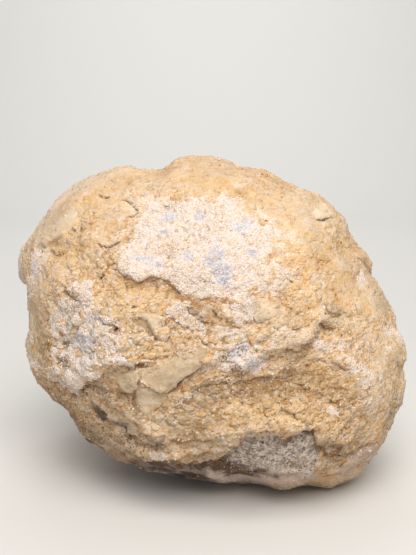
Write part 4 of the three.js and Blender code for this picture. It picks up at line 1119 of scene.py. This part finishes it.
class RindFinish(Finish):
    """The stone's own finish, painted in layers. Its patterns are shared by the layers."""

    def __init__(self):
        super().__init__("geode_rind")
        self.patches = self.noise(2.2, 4, 0.6, 0.6)
        self.small = self.noise(1.1, 4, 0.65)
        self.fine = self.noise(0.45, 3, 0.7)
        self.fibres = self.noise(0.5, 3, 0.6, 0.8, self.stretched(FIBRE_TURN, (4, 1, 1)))
        self.from_middle, self.number = self.grains(0.52, self.stretched(FIBRE_TURN, (1.6, 1, 1)))
        self.quartz = self.plus(self.mark("quartz"), self.times(self.less(self.fine, 0.5), 1.2))
        self.cover = self.ease(self.quartz, 0.3, 0.62)
        self.bare_rind = self.less(1, self.cover)
        fold = self.noise(1.9, 2, 0.5, 0.8)
        seam = self.ease(self.sums("ABSOLUTE", self.less(fold, 0.5), 0), 0.004, 0.02, 1, 0)
        self.seam = self.times(seam, self.ease(self.patches, 0.46, 0.6, 0, 1))
        self.loose = self.times(self.ease(self.mark("clay"), 0.2, 0.8, 1.0, 0.25),
            self.ease(self.mark("worn"), 0, 0.8, 1.0, 0.3))
        self.colour = None

    def paint(self, colour, *shares):
        """Lays a colour over what is there, as fully as the shares give when multiplied together."""
        self.colour = self.mix(self.times(*shares), self.colour, colour)

    def rind_tone(self):
        """The mottled rind. Worn ground varies less."""
        variety = self.ease(self.mark("worn"), 0, 1, 1.2, 0.4)
        mottle = self.plus(self.times(self.small, 0.26), self.times(self.fine, 0.3),
            self.times(self.fibres, 0.2))
        mottle = self.times(self.less(mottle, 0.38), variety)
        own_tone = self.times(self.less(self.number, 0.5), 0.42, variety)
        return self.plus(self.mark("tone"), mottle, own_tone)

    def quartz_tone(self):
        """The sugary quartz: white, bluish in places, and specked with rind."""
        blue = self.mark("blue")
        sugar = self.ease(self.small, 0.35, 0.62, 0.42, 0.33)
        sugar = self.less(sugar, self.times(blue, self.ease(self.small, 0.28, 0.6, 0.18, 0.27)))
        blocky = self.times(self.mark("blocky"), self.ease(self.patches, 0.35, 0.65, -0.02, 0.07))
        specks = self.times(self.ease(self.noise(0.7, 3, 0.65), 0.5, 0.58),
            self.ease(self.patches, 0.36, 0.56, 0.3, 1), self.ease(blue, 0.2, 0.7, 1, 0.1), 0.26)
        return self.plus(sugar, blocky, specks)

    def lay_ground(self):
        """The rind and the quartz, each by its tone."""
        rind = self.times(self.rind_tone(), self.bare_rind)
        quartz = self.times(self.quartz_tone(), self.cover)
        self.colour = self.toned(self.plus(rind, quartz))

    def tint_rind(self):
        """Golden, beige, tan and lilac areas of the bare rind."""
        golden = self.times(self.ease(self.noise(5, 3), 0.48, 0.62), 0.6)
        self.paint(GOLD, self.plus(golden, self.mark("gold")), self.ease(self.noise(1.3, 3), 0.36, 0.6),
            self.bare_rind, 0.66)
        beige = self.times(self.ease(self.noise(3.6, 3, 0.5, 0.4), 0.54, 0.66), 0.5)
        self.paint(BEIGE, self.plus(beige, self.mark("beige")), self.bare_rind, 0.6)
        self.paint(TAN, self.mark("tan"), self.ease(self.patches, 0.3, 0.6, 0.9, 0.45), self.bare_rind)
        self.paint(LILAC, self.ease(self.noise(1.6, 4, 0.65), 0.55, 0.66),
            self.ease(self.noise(7, 2), 0.4, 0.6, 0.15, 0.8), self.bare_rind)

    def lay_clay(self):
        """Smooth clay, beige to pale, and chalky in places."""
        pale = self.ease(self.plus(self.small, self.times(self.fibres, 0.5)), 0.5, 1.0)
        clay = self.mix(self.mark("chalk"), self.mix(pale, CLAY_BEIGE, CLAY_PALE), CHALK)
        self.paint(clay, self.mark("clay"), self.ease(self.fine, 0.55, 0.7, 1, 0.4))

    def stain_and_shade(self):
        """Rust and brown earth, mostly painted shade under rims, in hollows and low down, and slate, the
        painted shadow along grooves.
        """
        for name, colour, full, least, most in (("rust_and_shade", RUSTY_SHADE, 0.6, 0.5, 0.95),
                ("brown", EARTH_AND_SHADE, 0.6, 0.35, 0.9), ("slate_shade", SLATE_SHADE, 0.55, 0.5, 1)):
            self.paint(colour, self.mark(name), self.ease(self.small, 0.25, full, least, most))

    def lay_crusts(self):
        """The streaked grey crust, the banded mauve one, darkened as painted shade, the pale one, and a
        touch of pink.
        """
        streaks = self.noise(0.8, 4, 0.7, 0.3, self.stretched((0, 0, 0), (1, 1, 2.6)))
        ashen = self.plus(self.times(streaks, 0.6), self.times(self.number, 0.4))
        grey = self.mix(self.ease(ashen, 0.4, 0.6), ASH, ASH_PALE)
        self.paint(grey, self.mark("grey"), self.ease(self.fine, 0.3, 0.6, 0.75, 1))
        bands = self.noise(2.4, 3, 0.55, 0.3, self.stretched((0, 0, 0), (3, 3, 1)))
        self.paint(self.mix(self.ease(bands, 0.3, 0.74), MAUVE_IN_SHADE, PALE_MAUVE_IN_SHADE), self.mark("mauve"))
        self.paint(PALE, self.mark("pale"), self.ease(self.small, 0.3, 0.6, 0.6, 1))
        self.paint(PINK, self.mark("pink"), 0.7)

    def shade_gaps(self):
        """Seams and cracks, painted shade with some dirt in the gaps between grains and in hollows, and
        paler cream on the high spots.
        """
        self.paint(SHADE, self.seam, self.loose, 0.4)
        # Painted shade, with some dirt, in the gaps between grains and in fine and broad hollows.
        shade = self.mix(self.cover, SHADE, PIT)
        self.paint(shade, self.ease(self.from_middle, 0.42, 0.7),
            self.ease(self.patches, 0.36, 0.56, 0.25, 1), self.loose, 0.35)
        dusk = self.times(self.loose, self.ease(self.cover, 0, 1, 0.6, 0.4))
        hollow = self.mark("hollow")
        self.paint(shade, self.ease(hollow, 0.55, 0.85), dusk)
        self.paint(shade, self.ease(self.mark("recess"), 0.55, 1.0), dusk)
        # Paler cream on the high spots.
        self.paint(CREAM, self.ease(hollow, 0.48, 0.25), 0.2)
        self.paint(UMBER, self.mark("crack"), 0.85)

    def roughen(self):
        """Fine relief: small steps and grit, less of it on clay, with seams, fibres and grains."""
        steps = self.times(self.sums("SNAP", self.noise(2.0, 3, 0.6), 0.07), 1.6)
        grit = self.plus(self.times(self.noise(0.6, 4, 0.7), 0.8), self.times(self.noise(0.22, 2), 0.35))
        clay = self.mark("clay")
        relief = self.times(self.plus(steps, grit), self.ease(clay, 0.2, 0.8, 1.0, 0.4))
        relief = self.less(relief, self.times(self.seam, 0.3))
        relief = self.plus(relief, self.times(self.fibres, clay, 0.9))
        relief = self.less(relief, self.times(self.from_middle, 0.7, self.loose))
        bump = self.node("ShaderNodeBump")
        self.feed(bump.inputs["Height"], relief)
        bump.inputs["Distance"].default_value = 0.4 * MM
        bump.inputs["Strength"].default_value = 0.9
        self.feed(self.shader.inputs["Normal"], bump.outputs[0])


def rind_finish():
    """The stone's finish, which its flakes share."""
    f = RindFinish()
    f.lay_ground()
    f.tint_rind()
    f.lay_clay()
    f.stain_and_shade()
    f.lay_crusts()
    f.shade_gaps()
    f.roughen()
    f.feed(f.shader.inputs["Base Color"], f.colour)
    f.feed(f.shader.inputs["Roughness"], f.ease(f.quartz, 0.3, 0.7, 0.93, 0.7))
    f.shader.inputs["Specular IOR Level"].default_value = 0.3
    return f.material


# ---------------------------------------------------------------- loose grains and crystals


GRAIN_CORNERS = np.array([(1, 0, 0), (-1, 0, 0), (0, 1, 0), (0, -1, 0), (0, 0, 1), (0, 0, -1)], float)
GRAIN_FACES = np.array([
    (0, 2, 4), (2, 1, 4), (1, 3, 4), (3, 0, 4), (2, 0, 5), (1, 2, 5), (3, 1, 5), (0, 3, 5)])
GRAIN_COUNT = 24_800
GRAIN_SUNK = 0.62  # the share of a grain that lies in the skin
GRAIN_MAP = "OFBake"
MAP_DOT = 0.004  # half the width that one grain takes on its map
MAP_EDGE = 0.02  # what the map's edge leaves free
QUARTZ_GRAIN = (0.17, 0.42)  # a grain's usual half size in millimetres, and how much the grains differ
RIND_GRAINS = ((0.15, 0.25), (0.22, 0.35))  # the same for the fine and the coarse grains
LEAST_HEIGHT = 0.05  # how close to the floor a loose piece may come, in millimetres


def grain_finish(name, roughness):
    """A finish for grains, each of its own tone and shade, which its place on the map gives."""
    f = Finish(name)
    place = f.node("ShaderNodeUVMap", uv_map=GRAIN_MAP)
    parts = f.node("ShaderNodeSeparateXYZ")
    f.feed(parts.inputs[0], place.outputs[0])
    shade = f.times(f.less(1.0, parts.outputs[1]), 0.75)
    f.feed(f.shader.inputs["Base Color"], f.mix(shade, f.toned(parts.outputs[0]), UMBER))
    f.shader.inputs["Roughness"].default_value = roughness
    f.shader.inputs["Specular IOR Level"].default_value = 0.2
    return f.material


def unit(ways):
    """The same ways, each of length 1."""
    return ways / np.linalg.norm(ways, axis=1, keepdims=True)


def turns(draw, count):
    """As many random rotations."""
    a, b = draw.normal(size=(2, count, 3))
    x = unit(a)
    z = unit(np.cross(x, b))
    return np.stack([x, np.cross(z, x), z], 1)


class Ground:
    """The skin that grains lie on: its triangles in millimetres, and its marks at their middles."""

    def __init__(self, skin):
        mesh = skin.data
        mesh.calc_loop_triangles()
        corners = np.empty(len(mesh.loop_triangles) * 3, np.int32)
        mesh.loop_triangles.foreach_get("vertices", corners)
        self.corners = corners.reshape(-1, 3)
        p = vectors(mesh.vertices, "co") / MM
        self.triangles = p[self.corners]
        first, second, third = self.triangles.transpose(1, 0, 2)
        across = np.cross(second - first, third - first)
        length = np.linalg.norm(across, axis=1)
        self.area = length / 2
        self.normals = across / np.maximum(length, 1e-9)[:, None]
        self.middles = self.triangles.mean(1)
        self.mesh = mesh

    def mark(self, name):
        """What was stored on the skin under this name, for each triangle."""
        found = np.empty(len(self.mesh.vertices), np.float32)
        self.mesh.attributes[name].data.foreach_get("value", found)
        return found[self.corners].mean(1)


def strew(ground, name, weight, grain_size, tint, shade, seed, roughness):
    """Lays grains of eight faces all over the ground, more where the weight is more."""
    half_size, spread = grain_size
    draw = np.random.default_rng(seed)
    count = GRAIN_COUNT
    open_ground = smooth(0.5, 2.5, ground.middles[:, 2])
    chance = ground.area * weight * open_ground
    picked = draw.choice(len(chance), size=count, p=chance / chance.sum())
    shares = draw.dirichlet((1, 1, 1), size=count)
    at = (ground.triangles[picked] * shares[:, :, None]).sum(1)
    size = half_size * np.minimum(np.exp(spread * draw.normal(size=count)), 2)
    at += ground.normals[picked] * (size * (1 - 2 * GRAIN_SUNK))[:, None]
    corners = GRAIN_CORNERS * draw.uniform(0.7, 1.25, size=(count, 6, 1))
    corners[:, 4:] *= draw.uniform(0.9, 1.5, size=(count, 1, 1))
    corners = np.einsum("nij,nki->nkj", turns(draw, count), corners)
    points = at[:, None] + corners * size[:, None, None]
    points[..., 2] = np.maximum(points[..., 2], LEAST_HEIGHT)

    faces = (GRAIN_FACES + len(GRAIN_CORNERS) * np.arange(count)[:, None, None]).reshape(-1, 3)
    piece = new_piece(name, points.reshape(-1, 3), faces, grain_finish(name, roughness))
    map_place = np.stack([tint(draw, picked), shade(draw, picked)], 1).clip(MAP_EDGE, 1 - MAP_EDGE)
    dots = map_place[:, None] + GRAIN_CORNERS[:, :2] * MAP_DOT + GRAIN_CORNERS[:, 2:] * MAP_DOT / 2
    layer = piece.data.uv_layers.new(name=GRAIN_MAP)
    layer.data.foreach_set("uv", dots.reshape(-1, 2)[faces.ravel()].astype(np.float32).ravel())


FLAKE_CORNERS = 8
FLAKE_COUNT = 6_200
FLAKE_HALF_LENGTHS = (0.5, 0.8)  # the usual ones of the small and the large flakes, in millimetres
FLAKE_SPREAD = 0.45  # how much their lengths differ
FLAKE_DEPTH = 0.35  # how far a flake's hidden underside lies in the skin
FLAKE_FOOT = 0.12  # how far the foot of its edge does
FLAKE_SHADE_DEPTHS = (0.5, 0.4, 0.6, 0.5)  # how deep its middle, top ring, foot ring and underside seem to lie, which sets their painted shade
BEDDING = np.array([-0.2, -0.15, 1.0])  # across the layers that the rind flakes along
# How free of flakes each kind of ground stays, from 0 to 1.
FLAKE_FREE = {"clay": 0.98, "quartz": 0.9, "mauve": 0.95, "grey": 0.9, "pale": 0.9, "worn": 0.75}


def flake_faces():
    """A flake's triangles: its middle is corner 0, then come the top ring, the foot ring and the middle of
    the underside."""
    ring = np.arange(FLAKE_CORNERS)
    after = (ring + 1) % FLAKE_CORNERS
    top, next_top = 1 + ring, 1 + after
    foot, next_foot = top + FLAKE_CORNERS, next_top + FLAKE_CORNERS
    last = np.full(FLAKE_CORNERS, 1 + 2 * FLAKE_CORNERS)
    faces = [
        (np.zeros_like(ring), top, next_top), (top, foot, next_foot), (top, next_foot, next_top),
        (last, next_foot, foot)]
    return np.concatenate([np.stack(face, 1) for face in faces])


def flake_axes(ground, picked, draw):
    """For each flake: out of the stone, along the layers, and down across them."""
    out = unit((ground.middles[picked] - MIDDLE) / HALVES ** 1.7)
    out = unit(out + 0.6 * ground.normals[picked])
    along = np.cross(out, BEDDING) + 0.35 * draw.normal(size=out.shape)
    along = unit(along - out * (along * out).sum(1, keepdims=True))
    across = np.cross(out, along)
    across *= np.where(across[:, 2:] < 0, 1, -1)
    return out, along, across


def lay_flakes(ground, tree, name, weight, half_length, finish, seed):
    """Thin torn flakes of rind that follow the skin and stand up a little along their lower edge."""
    draw = np.random.default_rng(seed)
    count = FLAKE_COUNT
    chance = ground.area * weight * smooth(1.5, 4, ground.middles[:, 2])
    picked = draw.choice(len(chance), size=count, p=chance / chance.sum())
    out, along, across = flake_axes(ground, picked, draw)

    length = half_length * np.exp(FLAKE_SPREAD * draw.normal(size=count))
    width = length * draw.uniform(0.55, 1.0, size=count)
    uneven = draw.uniform(-0.3, 0.3, (count, FLAKE_CORNERS))
    turn = 2 * np.pi * (np.arange(FLAKE_CORNERS) + uneven) / FLAKE_CORNERS
    radius = draw.uniform(0.5, 1.2, (count, FLAKE_CORNERS))
    x = np.cos(turn) * radius
    y = np.sin(turn) * radius
    thick = (0.08 + 0.08 * length) * draw.uniform(0.6, 1.4, size=count)
    lift = thick[:, None] * (0.45 + 0.75 * y)
    zero = np.zeros((count, 1))
    x = np.concatenate([zero, 0.86 * x, x, zero], 1)
    y = np.concatenate([zero, 0.86 * y, y, zero], 1)
    foot = np.full_like(lift, -FLAKE_FOOT)
    height = np.concatenate([0.6 * thick[:, None], lift, foot, zero - FLAKE_DEPTH], 1)
    points = ground.middles[picked][:, None] + along[:, None] * (x * length[:, None])[..., None]
    points += across[:, None] * (y * width[:, None])[..., None]
    flat = (points * MM).reshape(-1, 3)
    nearest = np.array([tree.find_nearest(point)[0] for point in flat]).reshape(points.shape) / MM
    points = nearest + out[:, None] * height[..., None]
    points[..., 2] = np.maximum(points[..., 2], LEAST_HEIGHT)

    corners = 2 + 2 * FLAKE_CORNERS
    faces = (flake_faces() + corners * np.arange(count)[:, None, None]).reshape(-1, 3)
    piece = new_piece(name, points.reshape(-1, 3), faces, finish)
    for mark in (*MARKS, "tone", "recess"):
        values = ground.mark(mark)[picked]
        if mark == "tone":
            values = values + draw.normal(0, 0.03, count)
        store(piece, mark, np.repeat(values, corners))
    # painted shade at each flake's foot, and paler cream on its top ring
    shade_depths = np.repeat(FLAKE_SHADE_DEPTHS, (1, FLAKE_CORNERS, FLAKE_CORNERS, 1))
    store(piece, "hollow", np.tile(shade_depths, count))


def new_piece(name, points, faces, finish):
    """A mesh of triangles from points in millimetres, which rides with the stone."""
    mesh = bpy.data.meshes.new(name)
    mesh.vertices.add(len(points))
    mesh.vertices.foreach_set("co", (points * MM).astype(np.float32).ravel())
    mesh.loops.add(faces.size)
    mesh.loops.foreach_set("vertex_index", faces.astype(np.int32).ravel())
    mesh.polygons.add(len(faces))
    mesh.polygons.foreach_set("loop_start", np.arange(0, faces.size, 3, dtype=np.int32))
    mesh.update(calc_edges=True)
    mesh.materials.append(finish)
    piece = bpy.data.objects.new(name, mesh)
    bpy.context.scene.collection.objects.link(piece)
    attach(piece, "root")
    return piece


def make_rind_flakes(ground, skin, finish):
    """Flakes all over the rind, but few on the ground that FLAKE_FREE names."""
    corners = [vertex.co for vertex in skin.data.vertices]
    tree = BVHTree.FromPolygons(corners, [face.vertices for face in skin.data.polygons])
    weight = 0.1 + smooth(-0.5, 0.3, rough(ground.middles, 7, 74))
    for name, bareness in FLAKE_FREE.items():
        weight *= 1 - bareness * ground.mark(name)
    for number, half_length in enumerate(FLAKE_HALF_LENGTHS):
        lay_flakes(ground, tree, f"rind_flakes_{number + 1}", weight, half_length, finish, 40 + number)


def make_quartz_grains(ground):
    """White crystals, some bluish, and more of them dusted with rind where the ground is dirty."""
    quartz, blue = ground.mark("quartz"), ground.mark("blue")
    hollow, blocky, brown = (ground.mark(name) for name in ("hollow", "blocky", "brown"))
    dirt = smooth(0.0, 0.8, rough(ground.middles, 1.8, 72))

    def tint(draw, picked):
        count = len(picked)
        white = draw.normal(0.37, 0.05, count) - 0.05 * blocky[picked]
        dusty = draw.uniform(0.48, 0.74, count)
        greyish = draw.uniform(0.15, 0.23, count)
        dusted = (0.07 + 0.45 * dirt[picked]) * (1 - 0.7 * blocky[picked])
        tints = np.where(draw.uniform(size=count) < dusted, dusty, white)
        tints = np.where(draw.uniform(0.3, 0.8, size=count) < blue[picked], greyish, tints)
        # brown grains where the brown mark lies, which is mostly painted shade
        return np.where(draw.uniform(0.2, 0.7, size=count) < brown[picked], 0.95, tints)

    def shade(draw, picked):
        # painted shade: grains in hollows are darker
        deep = smooth(0.55, 0.85, hollow[picked])
        return draw.normal(0.95, 0.05, len(picked)) - (0.2 + 0.25 * blocky[picked]) * deep

    weight = (smooth(0.25, 0.8, quartz) + 0.12 * smooth(0.02, 0.3, quartz)) * (1 - ground.mark("mauve"))
    weight *= (1 - 0.5 * np.minimum(ground.mark("worn"), 1)) * (1 - 0.6 * blocky)
    strew(ground, "quartz_grains", weight, QUARTZ_GRAIN, tint, shade, 7, 0.65)


def make_rind_grains(ground):
    """Grit of the rind's own tone, with a few white and a few dark grains in it."""
    clay, quartz, tone = (ground.mark(name) for name in ("clay", "quartz", "tone"))
    brown, mauve, grey = (ground.mark(name) for name in ("brown", "mauve", "grey"))
    slate_shade, hollow = (ground.mark(name) for name in ("slate_shade", "hollow"))

    def tint(draw, picked):
        count = len(picked)
        tints = tone[picked] + draw.normal(0, 0.09, count)
        tints = np.where(draw.uniform(size=count) < 0.05, draw.normal(0.33, 0.06, count), tints)
        tints = np.where(draw.uniform(size=count) < 0.04, draw.normal(0.86, 0.04, count), tints)
        # dark grains where the brown and slate marks lie, which are mostly painted shade
        tints = np.where(draw.uniform(size=count) < 0.8 * brown[picked], 0.95, tints)
        in_slate_shade = draw.uniform(size=count) < 0.8 * slate_shade[picked]
        tints = np.where(in_slate_shade, draw.choice((0.02, 0.98), count), tints)
        in_ash = draw.uniform(size=count) < 0.9 * grey[picked]
        return np.where(in_ash, draw.choice((0.03, 0.46, 0.2), count), tints)

    def shade(draw, picked):
        # painted shade: grains in hollows and along the grooves are darker, and so are those in the grey
        # crust
        deep = smooth(0.55, 0.9, hollow[picked]) + 0.3 * grey[picked] + 0.8 * slate_shade[picked]
        return draw.normal(0.95, 0.05, len(picked)) - 0.4 * deep

    patchy = 0.15 + smooth(-0.3, 0.5, rough(ground.middles, 6, 73))
    smoothed = np.minimum(ground.mark("worn"), 1)
    weight = (1 - 0.97 * clay) * (1 - 0.6 * quartz) * (1 - 0.9 * mauve) * (1 - 0.85 * smoothed) * patchy
    for number, grain_size in enumerate(RIND_GRAINS):
        strew(ground, f"rind_grains_{number + 1}", weight, grain_size, tint, shade, 20 + number, 0.9)


def make_nodule():
    """The stone itself, with a carved skin in place of its plain one."""
    skin = uncut_skin()
    carve(skin)
    thin_out(skin)
    mark_hollows(skin)
    only(skin)
    bpy.ops.object.shade_smooth()
    skin.data.materials.append(rind_finish())
    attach(skin, "root")
    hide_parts("geode")
    return skin


# ---------------------------------------------------------------- floor, light and camera


SENSOR = 36  # the width of the camera's sensor in millimetres
NEAREST = 0.005  # what is closer to the camera than this isn't seen, in metres, as are all lengths below
FLOOR_SIZE = 3
FLOOR_BACK = 0.55  # where the floor starts to curve up, behind the stone
FLOOR_CURVE = 0.35
FLOOR_CURVE_STEPS = 16
FLOOR_WALL = 1.2
FLOOR_COLOUR = srgb(218, 216, 212)
KEY_AT = (0.03, -0.33, 0.445)
KEY_SIZE = 0.34
KEY_POWER = 3.15
KEY_COLOUR = (1.0, 0.972, 0.935)
BACKDROP_AT = (0, 0.30, 0.75)
BACKDROP_TOWARDS = (0, 0.95, 0.35)
BACKDROP_SIZE = 0.4
BACKDROP_POWER = 4.0
SKY_COLOUR = (0.95, 0.97, 1, 1)
SKY_STRENGTH = 0.38


def make_camera():
    """Stands where the front plate is seen from, so that VIEW_SCALE holds."""
    camera = bpy.data.cameras.new("camera")
    camera.sensor_width = SENSOR
    camera.lens = EYE_DISTANCE * VIEW_SCALE / max(VIEW) * SENSOR
    camera.clip_start = NEAREST
    holder = bpy.data.objects.new("camera", camera)
    bpy.context.scene.collection.objects.link(holder)
    eye = MIDDLE + FRONT.right * EYE_SHIFT[0] + FRONT.up * EYE_SHIFT[1] + FRONT.out * EYE_DISTANCE
    turn = Matrix((FRONT.right, FRONT.up, FRONT.out)).transposed()
    holder.matrix_world = Matrix.Translation(Vector(eye * MM)) @ turn.to_4x4()
    bpy.context.scene.camera = holder


def make_floor():
    """A wide floor that curves up into a plain backdrop far behind the stone."""
    bpy.ops.mesh.primitive_plane_add(size=FLOOR_SIZE, location=(0, FLOOR_BACK - FLOOR_SIZE / 2, 0))
    floor = bpy.context.object
    floor.name = "floor"
    bpy.ops.object.mode_set(mode="EDIT")
    bpy.ops.mesh.select_all(action="DESELECT")
    bpy.ops.object.mode_set(mode="OBJECT")
    for vertex in floor.data.vertices:
        vertex.select = vertex.co.y > 0
    for edge in floor.data.edges:
        edge.select = all(floor.data.vertices[i].select for i in edge.vertices)
    bpy.ops.object.mode_set(mode="EDIT")
    step = np.pi / 2 / FLOOR_CURVE_STEPS
    for i in range(FLOOR_CURVE_STEPS):
        angle = step * (i + 0.5)
        length = FLOOR_CURVE * step
        move = (0, length * np.cos(angle), length * np.sin(angle))
        bpy.ops.mesh.extrude_region_move(TRANSFORM_OT_translate={"value": move})
    bpy.ops.mesh.extrude_region_move(TRANSFORM_OT_translate={"value": (0, 0, FLOOR_WALL)})
    bpy.ops.object.mode_set(mode="OBJECT")
    bpy.ops.object.shade_smooth()
    f = Finish("pale_floor")
    f.shader.inputs["Base Color"].default_value = FLOOR_COLOUR
    f.shader.inputs["Roughness"].default_value = 0.85
    floor.data.materials.append(f.material)


def soft_light(name, at, towards, size, power, colour=(1, 1, 1)):
    """A square light that shines from one place towards another."""
    lamp = bpy.data.lights.new(name, "AREA")
    lamp.size = size
    lamp.energy = power
    lamp.color = colour
    holder = bpy.data.objects.new(name, lamp)
    bpy.context.scene.collection.objects.link(holder)
    holder.location = at
    holder.rotation_mode = "QUATERNION"
    holder.rotation_quaternion = (Vector(at) - Vector(towards)).to_track_quat("Z", "Y")


def make_light():
    """A warm key light from the front and above, one light for the backdrop, and a pale sky."""
    soft_light("key", KEY_AT, MIDDLE * MM, KEY_SIZE, KEY_POWER, KEY_COLOUR)
    soft_light("backdrop", BACKDROP_AT, BACKDROP_TOWARDS, BACKDROP_SIZE, BACKDROP_POWER)
    world = bpy.data.worlds.new("studio")
    bpy.context.scene.world = world
    world.use_nodes = True
    sky = world.node_tree.nodes["Background"]
    sky.inputs["Color"].default_value = SKY_COLOUR
    sky.inputs["Strength"].default_value = SKY_STRENGTH
    bpy.context.scene.view_settings.view_transform = "Standard"


make_camera()
nodule = make_nodule()
nodule_ground = Ground(nodule)
make_rind_flakes(nodule_ground, nodule, nodule.data.materials[0])
make_quartz_grains(nodule_ground)
make_rind_grains(nodule_ground)
make_floor()
make_light()
